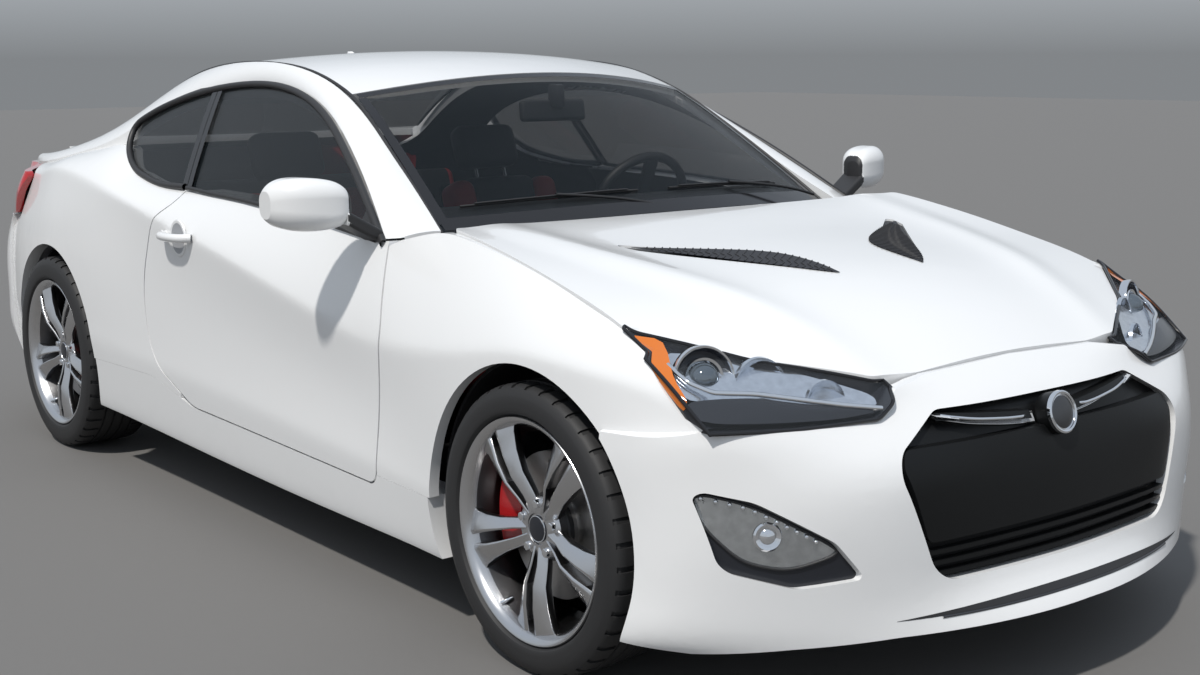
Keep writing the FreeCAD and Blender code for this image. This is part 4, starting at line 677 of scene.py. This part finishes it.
lampParts = {
    "field": [(0.800, 0.775), (0.735, 0.770), (0.60, 0.740), (0.50, 0.705), (0.450, 0.684), (0.47, 0.664),
              (0.56, 0.668), (0.65, 0.680), (0.70, 0.690), (0.79, 0.690), (0.835, 0.700)],
    "blade": [(0.835, 0.690), (0.775, 0.694), (0.700, 0.692), (0.640, 0.680), (0.530, 0.664), (0.470, 0.652),
              (0.560, 0.645), (0.700, 0.648), (0.800, 0.652), (0.842, 0.662)],
    "swoosh": [(0.812, 0.752), (0.806, 0.722), (0.775, 0.703), (0.700, 0.698), (0.640, 0.687), (0.545, 0.669),
               (0.465, 0.657)],
    "amber": [(1.748, 0.800), (1.790, 0.790), (1.835, 0.762), (1.884, 0.726), (1.930, 0.690), (1.934, 0.678),
              (1.922, 0.670), (1.872, 0.708), (1.800, 0.766)],
}


def onSide(sign, points):
    """Front view points of the left side, put on either side."""
    return [(sign * y, z) for y, z in points]


for sign, side in ((-1, "Right"), (1, "Left")):
    patch("lampField" + side, onSide(sign, lampParts["field"]), frontOfLamp, -0.010, reflector, "body", -0.012)
    patch("lampBlade" + side, onSide(sign, lampParts["blade"]), frontOfLamp, -0.004, lampBlack, "body", 0.004)
    swoosh = laid(onSide(sign, between(lampParts["swoosh"], 24)), frontOfLamp, -0.003)
    wireTrim("lampSwoosh" + side, swoosh, 0.0055, chrome, "body")
    patch("turnLamp" + side, lampParts["amber"], fromSide(["headlamps"], sign), 0.0012, amber, "body", soft=1)
print("headlamps done")

# Fog lamps: clear lens with a row of small lamps along its upper edge
fogSilver = newMaterial("fogSilver", (0.60, 0.62, 0.63), 0.12, metallic=0.95, grainSize=45, grainDepth=1.0, vary=0.35)
frontOfFog = fromFront(["fog_lamps"])
lensShape = [(0.842, 0.512), (0.764, 0.490), (0.640, 0.412), (0.607, 0.385), (0.700, 0.352), (0.775, 0.372),
             (0.828, 0.440)]
for sign, side in ((-1, "Right"), (1, "Left")):
    patch("fogReflector" + side, onSide(sign, lensShape), frontOfFog, 0.0005, fogSilver, "body", 0.0, soft=3)
    patch("fogLens" + side, onSide(sign, lensShape), frontOfFog, 0.004, lampGlass, "body", 0.004, soft=3)
    row = between([(0.828, 0.500), (0.764, 0.482), (0.655, 0.413)], 11)
    for i, spot in enumerate(laid(onSide(sign, row), frontOfFog, 0.004)):
        bpy.ops.mesh.primitive_uv_sphere_add(segments=16, ring_count=8, radius=0.0052, location=spot)
        dot = bpy.context.object
        dot.name = "fogDot%s%d" % (side, i)
        finish(dot, chrome, "body")
    edge = softCorners(onSide(sign, lensShape), 3)
    wireTrim("fogEdge" + side, laid(edge, frontOfFog, 0.003), 0.0025, blackPlastic, "body", closed=True)
    bulbSpot = frontOfFog(sign * 0.735, 0.425)
    if bulbSpot:
        bulb = spun("fogBulb" + side, [(0.0005, 0.006), (0.010, 0.005), (0.016, 0.0), (0.026, 0.006),
                                       (0.030, 0.002)], 32)
        finish(aimed(bulb, bulbSpot[0] + bulbSpot[1] * 0.001, (0.8, sign * 0.5, 0.1)), chrome, "body")
print("fog lamps done")

# Grille: bright wings, plain bright disc with a dark centre
wingSilver = newMaterial("wingSilver", (0.78, 0.80, 0.83), 0.28, metallic=0.45, grainSize=300, grainDepth=0.05)
wings = [(0.052, 0.598), (0.150, 0.602), (0.250, 0.611), (0.345, 0.627)]
for sign, side in ((-1, "Right"), (1, "Left")):
    along = onSide(sign, between(wings, 12))
    below = [(y, z - 0.008 - 0.012 * (1 - i / 11)) for i, (y, z) in enumerate(along)]
    band("grilleWing" + side, along, below, fromFront(["grille"]), 0.006, wingSilver, "body")
    wireTrim("grilleWingTop" + side, laid(along, fromFront(["grille"]), 0.004), 0.0035, chrome, "body")
    wireTrim("grilleWingFoot" + side, laid(below, fromFront(["grille"]), 0.004), 0.0025, chrome, "body")
disc = spun("grilleDisc", [(0.0005, 0.004), (0.020, 0.0035), (0.036, 0.001), (0.0385, 0.0), (0.040, 0.004),
                           (0.0435, 0.0055), (0.0470, 0.003), (0.0478, -0.004)], 64)
disc.data.materials.append(chrome)
paintWhere(disc, darkSilver, lambda c, n: math.hypot(c.x, c.z) < 0.037)
finish(aimed(disc, (2.2160, 0.0, 0.6000), (1, 0, 0.28)), chrome, "body", 30)
lipReach = 0.50
lipTop = [(lipReach * (i / 20 - 1), 0.252 - 0.019 * (i / 20 - 1) ** 2) for i in range(41)]
lipFoot = [(y, z - 0.0005 - 0.015 * (1 - abs(y / lipReach) ** 3)) for y, z in lipTop]
frontOfBumper = fromFront(["front_bumper"])
band("lipSlot", lipTop, lipFoot, frontOfBumper, 0.0008, blackPlastic, "body")
lipBead = laid([(y, z - 0.002) for y, z in lipFoot[4:-4]], frontOfBumper, 0.0)
wireTrim("lipBead", lipBead, 0.003, darkSilver, "body")
print("nose done")

# Side windows: seals, divider, belt strips and the corner panels
def glassPlane(x, z, side, out=0.0):
    swell = 0.010 * math.sin(math.pi * (z - 0.88) / 0.44)
    return Vector((x, side * (0.835 - 0.56 * (z - 0.93) + swell - 0.004 + out), z))


frontAxleX = 1.475
rearAxleX = -1.345
# Grey that stands in for the shade in the hollow of the door handle's bowl: painted shade
bowlPaintedShade = newMaterial("bowlPaintedShade", (0.34, 0.35, 0.37), 0.4)
windowTop = [(-0.662, 0.908), (-0.836, 1.014), (-0.998, 1.103), (-1.215, 1.206), (-1.440, 1.268), (-1.700, 1.291),
             (-2.016, 1.269), (-2.273, 1.218), (-2.440, 1.158), (-2.462, 1.130), (-2.432, 1.068), (-2.314, 1.006),
             (-2.150, 0.980), (-2.037, 0.970), (-1.885, 0.974)]
belt = [(-0.700, 0.913), (-1.000, 0.938), (-1.300, 0.953), (-1.500, 0.962), (-1.700, 0.966), (-1.866, 0.973)]
dividerLine = [(-1.972, 1.268), (-1.922, 1.125), (-1.872, 0.978)]
for side, word in ((1, "left"), (-1, "right")):
    door = "door_" + word
    seal = [glassPlane(a + frontAxleX, z, side, 0.004) for a, z in between(softLine(windowTop), 90)]
    wireTrim("windowSeal." + word, seal, 0.0105, blackPlastic, "body")
    strip = [glassPlane(a + frontAxleX, z, side, 0.006) for a, z in between(belt, 16)]
    wireTrim("beltStrip." + word, strip, 0.0065, blackPlastic, door)
    post = between(dividerLine, 9)
    rows = [[glassPlane(a + frontAxleX + shift, z, side, 0.0045) for a, z in post] for shift in (-0.034, -0.002)]
    sheetOf("divider.rear." + word, rows, blackGloss, "body")
    rows = [[glassPlane(a + frontAxleX + shift, z, side, 0.0045) for a, z in post] for shift in (0.002, 0.030)]
    sheetOf("divider.front." + word, rows, blackGloss, door)
    corner = [(0.815, 0.912), (0.748, 0.960), (0.690, 0.994), (0.672, 0.985), (0.668, 0.916)]
    rows = [[glassPlane(x, z, side, 0.003) for x, z in corner],
            [glassPlane(0.72 + (x - 0.72) * 0.3, 0.945 + (z - 0.945) * 0.3, side, 0.005) for x, z in corner]]
    sheetOf("mirrorPanel." + word, rows, blackPlastic, door, closed=True, cap=True)
    # Pull handle over a round bowl
    onDoor = fromSide([door], side)
    handle = [(-0.188, 0.840, 0.002), (-0.200, 0.840, 0.020), (-0.225, 0.839, 0.033), (-0.280, 0.838, 0.037),
              (-0.335, 0.837, 0.034), (-0.362, 0.836, 0.022), (-0.374, 0.836, 0.002)]
    pull = []
    for x, z, lift in handle:
        found = onDoor(x, z)
        if found:
            pull.append(found[0] + Vector((0, side * lift, 0)))
    wireTrim("doorHandle." + word, pull, 0.0135, whitePaint, door)
    found = onDoor(-0.283, 0.832)
    if found:
        bowl = spun("handleBowl." + word, [(0.0005, 0.0004), (0.034, 0.0006), (0.046, 0.0016), (0.051, 0.0026),
                                           (0.055, 0.0016), (0.057, -0.002)], 48)
        bowl.data.materials.append(whitePaint)
        # The middle of the nearly flat bowl is painted grey as painted shade of its hollow
        paintWhere(bowl, bowlPaintedShade, lambda c, n: math.hypot(c.x, c.z) < 0.046)
        finish(aimed(bowl, found[0], found[1]), whitePaint, door)
    lock = onDoor(-0.400, 0.836)
    if lock:
        barrelLock = spun("doorLock." + word, [(0.0005, 0.003), (0.009, 0.003), (0.0115, 0.0015), (0.012, -0.002)], 32)
        finish(aimed(barrelLock, lock[0], lock[1]), whitePaint, door)
    # Mirror glass on the rear of the housing, dark foot
    mirrorNode = "mirror_" + word
    paintWhere(nodes[mirrorNode], blackPlastic, lambda c, n: abs(c.y) < 0.925)
    backOfMirror = fromInside([mirrorNode])
    outline = onSide(side, [(0.965, 0.965), (0.970, 1.050), (1.060, 1.052), (1.082, 1.030), (1.078, 0.975),
                            (1.050, 0.962)])
    patch("mirrorGlass." + word, outline, backOfMirror, 0.0015, mirrorGlass, door, soft=3)
print("sides done")

# Roof and windshield mouldings, ceramic border of the windshield, inside mirror
roofLine = [(-0.640, 0.690, 0.924), (-0.783, 0.668, 1.016), (-0.925, 0.648, 1.100), (-1.075, 0.624, 1.186),
            (-1.225, 0.601, 1.264), (-1.480, 0.592, 1.333), (-1.780, 0.590, 1.353), (-2.080, 0.578, 1.343),
            (-2.340, 0.566, 1.306), (-2.620, 0.592, 1.200), (-2.860, 0.640, 1.092)]
for side, word in ((1, "left"), (-1, "right")):
    line = [(a + frontAxleX, side * y, z) for a, y, z in between(softLine(roofLine), 90)]
    wireTrim("roofMoulding." + word, line, 0.0050, blackPlastic, "body")


def windshieldRow(top, reach):
    """A line across the windshield between its foot (0) and its header (1)."""
    mid = -0.500 + (-1.120 + 0.500) * top
    side = -0.640 + (-1.225 + 0.640) * top
    wide = 0.690 + (0.600 - 0.690) * top
    return [(mid + (side - mid) * u * u + frontAxleX, wide * u) for u in [reach * (i / 12 - 1) for i in range(25)]]


onGlass = fromAbove(["windshield"])
for name, low, high in (("frit.foot", 0.012, 0.085), ("frit.header", 0.955, 0.992)):
    band(name, windshieldRow(low, 0.985), windshieldRow(high, 0.985), onGlass, 0.0012, blackGloss, "body")
for sign, word in ((1, "left"), (-1, "right")):
    outer = [row[24 if sign > 0 else 0] for row in [windshieldRow(t / 20, 0.992) for t in range(1, 20)]]
    inner = [row[24 if sign > 0 else 0] for row in [windshieldRow(t / 20, 0.955) for t in range(1, 20)]]
    band("frit." + word, outer, inner, onGlass, 0.0012, blackGloss, "body")
insideMirror = softBox("insideMirror", (0.028, 0.235, 0.062), 0.012, 4)
insideMirror.location = (0.385, 0.0, 1.205)
insideMirror.rotation_euler = (0, math.radians(-8), 0)
finish(insideMirror, blackPlastic, "body")
stalk = softBox("insideMirrorStalk", (0.05, 0.03, 0.07), 0.008, 2)
stalk.location = (0.405, 0.0, 1.248)
finish(stalk, blackPlastic, "body")
for word, first, last, pivot in (("right", -0.60, -0.09, (0.942, -0.02)), ("left", 0.02, 0.50, (0.898, 0.585))):
    blade = []
    for i in range(15):
        y = first + (last - first) * i / 14
        u = y / 0.677
        blade.append((-0.587 - 0.135 * u * u + frontAxleX, y))
    rubberLine = laid(blade, onGlass, 0.0045)
    spine = laid(blade[1:-1], onGlass, 0.0105)
    middle = laid([blade[7]], onGlass, 0.014)[0]
    foot = Vector((pivot[0], pivot[1], 0.955))
    reach = [foot, foot.lerp(middle, 0.25) + Vector((0, 0, 0.012)),
             foot.lerp(middle, 0.8) + Vector((0, 0, 0.006)), middle]
    wiper = wireTrim("wiperBlade." + word, rubberLine, 0.0034, rubber, "body")
    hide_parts("wipers")
    wireTrim("wiperSpine." + word, spine, 0.0026, blackPlastic, "body")
    wireTrim("wiperArm." + word, reach, 0.0042, blackPlastic, "body")
print("roof done")

# Seats: rounded blocks for cushion, back, bolsters and head rest, red outside and black in the middle
def padOf(name, size, place, tilt, width, material):
    piece = softBox(name, size, width, 4)
    piece.location = place
    piece.rotation_euler = (0, math.radians(tilt), 0)
    bpy.ops.object.transform_apply(location=True, rotation=True)
    finish(piece, material, "body", 60)
    return piece


seatHip = -1.700 + frontAxleX
for side, word in ((1, "left"), (-1, "right")):
    y = 0.395 * side
    parts = [padOf("seatCushion." + word, (0.47, 0.30, 0.11), (seatHip + 0.27, y, 0.395), -6, 0.04, blackLeather),
             padOf("seatBack." + word, (0.095, 0.29, 0.58), (seatHip - 0.165, y, 0.665), -20, 0.035, blackLeather),
             padOf("headRest." + word, (0.085, 0.25, 0.155), (seatHip - 0.325, y, 1.045), -20, 0.035, blackLeather)]
    for edge in (1, -1):
        parts.append(padOf("seatBolster%d.%s" % (edge, word), (0.46, 0.085, 0.135),
                           (seatHip + 0.27, y + edge * 0.19, 0.397), -6, 0.035, redLeather))
        parts.append(padOf("backBolster%d.%s" % (edge, word), (0.125, 0.095, 0.56),
                           (seatHip - 0.155, y + edge * 0.175, 0.665), -20, 0.038, redLeather))
    frameOf = padOf("seatFrame." + word, (0.40, 0.34, 0.10), (seatHip + 0.25, y, 0.270), 0, 0.015, blackPlastic)
    padOf("seatShell." + word, (0.03, 0.40, 0.56), (seatHip - 0.225, y, 0.655), -20, 0.012, blackPlastic)
    for offset in (-0.06, 0.06):
        bpy.ops.mesh.primitive_cylinder_add(vertices=20, radius=0.006, depth=0.12,
                                            location=(seatHip - 0.290, y + offset, 0.955),
                                            rotation=(0, math.radians(-20), 0))
        finish(bpy.context.object, chrome, "body")
    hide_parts("front_seats")
print("seats done")

# Rear: lamp inserts, lower insert with fins, reflectors, release strip, line of the plate's recess, high brake lamp
redGlow = newMaterial("redGlow", (0.85, 0.03, 0.03), 0.15, grainSize=500, grainDepth=0.2, Coat_Weight=1.0)
redDark = newMaterial("redDark", (0.14, 0.006, 0.008), 0.12, grainSize=500, grainDepth=0.05, Coat_Weight=1.0)
onLamp, onBumper = fromRear(["tail_lamps"]), fromRear(["rear_bumper"])
for sign, side in ((-1, "Right"), (1, "Left")):
    ring = [(0.545, 0.945), (0.70, 0.940), (0.775, 0.928), (0.765, 0.835), (0.690, 0.815), (0.545, 0.812)]
    patch("tailInsert" + side, onSide(sign, ring), onLamp, 0.0008, redDark, "body")
    for i, inset in enumerate((0.012, 0.034)):
        loop = softCorners([(sign * (y + (0.66 - y) * inset * 6), z + (0.88 - z) * inset * 6) for y, z in ring])
        wireTrim("tailGlow%d%s" % (i, side), laid(loop, onLamp, 0.001), 0.0042, redGlow, "body", closed=True)
    clear = [(0.562, 0.858), (0.640, 0.858), (0.650, 0.828), (0.562, 0.824)]
    patch("reverseLamp" + side, onSide(sign, clear), onLamp, 0.0024, reflector, "body", soft=2)
    glow = [(0.600, 0.430), (0.720, 0.436), (0.722, 0.402), (0.602, 0.396)]
    patch("rearReflector" + side, onSide(sign, glow), onBumper, 0.0015, redGlow, "body", soft=2)
insert = [(-0.330, 0.262), (-0.300, 0.360), (0.300, 0.360), (0.330, 0.262)]
patch("rearInsert", insert, onBumper, 0.0012, blackPlastic, "body", rings=8, soft=2)
for i in range(5):
    y = -0.24 + 0.12 * i
    wireTrim("rearFin%d" % i, laid([(y, 0.272), (y, 0.31), (y, 0.346)], onBumper, 0.003), 0.005, blackPlastic, "body")
recess = [(-0.262, 0.560), (-0.275, 0.572), (-0.268, 0.690), (-0.256, 0.702), (0.0, 0.704)]
recess = softCorners(recess + [(-y, z) for y, z in recess[-2::-1]] + [(0.0, 0.558)], 1)
wireTrim("recessLine", laid(recess, onBumper, 0.0), 0.0022, blackPlastic, "body", closed=True)
strip = between([(-0.16, 0.792), (0.16, 0.792)], 9)
stripFoot = [(y, z - 0.018) for y, z in strip]
band("lidRelease", strip, stripFoot, fromRear(["trunk_lid"]), 0.001, blackPlastic, "trunk_lid")
brakeLamp = softBox("highBrakeLamp", (0.030, 0.320, 0.018), 0.005, 3)
brakeLamp.location = (-0.905, 0, 1.285)
finish(brakeLamp, redGlow, "body")

# Tailpipe ends: bright lips round dark mouths
for sign, word in ((1, "left"), (-1, "right")):
    lip = spun("pipeLip." + word, [(0.036, -0.012), (0.037, 0.0035), (0.0405, 0.0055), (0.0455, 0.0045),
                                   (0.0468, -0.001), (0.0468, -0.055)], 64)
    lip.data.materials.append(chrome)
    mouth = spun("pipeMouth." + word, [(0.0005, 0.0006), (0.037, 0.0006)], 48)
    mouth.data.materials.append(underCoat)
    tip = join("pipeEnd." + word, [lip, mouth])
    finish(aimed(tip, (-2.2702, sign * 0.430, 0.250), (-1, 0, 0)), chrome, "body")

# Finish of inner faces: lining under the roof, dark door cards, red calipers
paintWhere(nodes["roof_panel"], headliner, lambda c, n: n.z < -0.2)
paintWhere(nodes["roof_rails"], headliner, lambda c, n: n.z < -0.15)
for word, side in (("left", 1), ("right", -1)):
    paintWhere(nodes["door_" + word], blackPlastic, lambda c, n: n.y * side < -0.3 and abs(c.y) < 0.86)
    paintWhere(nodes["front_knuckle_" + word], redCaliper, lambda c, n: c.x < frontAxleX - 0.055)
paintWhere(nodes["rear_seat"], blackLeather, lambda c, n: n.x < -0.2 or 0.16 < abs(c.y) < 0.48)
paintWhere(nodes["rear_knuckles"], redCaliper, lambda c, n: c.x > rearAxleX + 0.055)
paintWhere(nodes["rear_quarters"], headliner, lambda c, n: n.y * math.copysign(1, c.y) < -0.5)

# Vent screens on the hood
ventMesh = newMaterial("ventMesh", (0.016, 0.016, 0.020), 0.55, grainSize=900, grainDepth=0.6)
onHood = fromAbove(["hood"])
ventStep = 0.003


def paintBeside(point, away):
    """The hood's paint next to a point on the vent's edge, found step by step outwards."""
    for step in range(2, 14):
        found = onHood(point[0] + away.x * ventStep * step, point[1] + away.y * ventStep * step)
        if found and found[1].z > 0.8:
            return found[0]
    return fromAbove(["hood", "hood_vents"])(*point)[0]


ventInner = [(1.692, 0.146), (1.620, 0.139), (1.530, 0.150), (1.470, 0.192), (1.405, 0.290), (1.345, 0.400),
             (1.318, 0.466)]
ventOuter = [(1.692, 0.148), (1.650, 0.196), (1.535, 0.292), (1.415, 0.384), (1.360, 0.438), (1.320, 0.472)]
for sign in (1, -1):
    inner = [(x, sign * y) for x, y in between(softLine(ventInner), 30)]
    outer = [(x, sign * y) for x, y in between(softLine(ventOuter), 30)]
    across = []
    for a, b in zip(inner, outer):
        side = Vector((b[0] - a[0], b[1] - a[1]))
        width = side.length
        side = side.normalized() if width > 0.004 else Vector((0.5, 0.86 * sign))
        near, far = paintBeside(a, -side), paintBeside(b, side)
        span = math.hypot(far.x - near.x, far.y - near.y)
        start = math.hypot(a[0] - near.x, a[1] - near.y) - 0.001
        shares = [(start + (width + 0.002) * i / 6) / span for i in range(7)]
        across.append([near.lerp(far, share) + Vector((0, 0, 0.0022)) for share in shares])
    sheetOf("ventScreen%d" % sign, across, ventMesh, "hood")
    for i in range(2, 28):
        run = [across[i - min(1, k // 4)][k] + Vector((0, 0, 0.0006)) for k in range(7)]
        wireTrim("ventBar%d.%d" % (sign, i), run, 0.0016, blackPlastic, "hood")
print("vents done")

# Floor and light
bpy.ops.mesh.primitive_plane_add(size=80)
floor = bpy.context.object
floor.name = "floor"
floorGrey = newMaterial("floorGrey", (0.150, 0.146, 0.142), 0.8, grainSize=60, grainDepth=0.1)
floor.data.materials.append(floorGrey)

world = bpy.data.worlds.new("studio")
scene.world = world
world.use_nodes = True
sky = world.node_tree.nodes["Background"]
sky.inputs["Strength"].default_value = 0.62
height = world.node_tree.nodes.new("ShaderNodeTexCoord")
split = world.node_tree.nodes.new("ShaderNodeSeparateXYZ")
ramp = world.node_tree.nodes.new("ShaderNodeValToRGB")
ramp.color_ramp.elements[0].position = 0.0
ramp.color_ramp.elements[0].color = (0.36, 0.38, 0.40, 1)
ramp.color_ramp.elements[1].position = 0.55
ramp.color_ramp.elements[1].color = (0.76, 0.86, 1.0, 1)
horizon = ramp.color_ramp.elements.new(0.08)
horizon.color = (0.80, 0.86, 0.92, 1)
world.node_tree.links.new(height.outputs["Generated"], split.inputs["Vector"])
world.node_tree.links.new(split.outputs["Z"], ramp.inputs["Fac"])
world.node_tree.links.new(ramp.outputs["Color"], sky.inputs["Color"])
scene.view_settings.view_transform = "Standard"

sun = bpy.data.objects.new("sun", bpy.data.lights.new("sun", "SUN"))
scene.collection.objects.link(sun)
sun.rotation_euler = (Vector((0, 0, 0)) - Vector((1.4, -3.2, 5.6))).to_track_quat("-Z", "Y").to_euler()
sun.data.energy = 3.2
sun.data.angle = math.radians(2.5)
sun.data.color = (1.0, 0.965, 0.91)
print("stage ready")
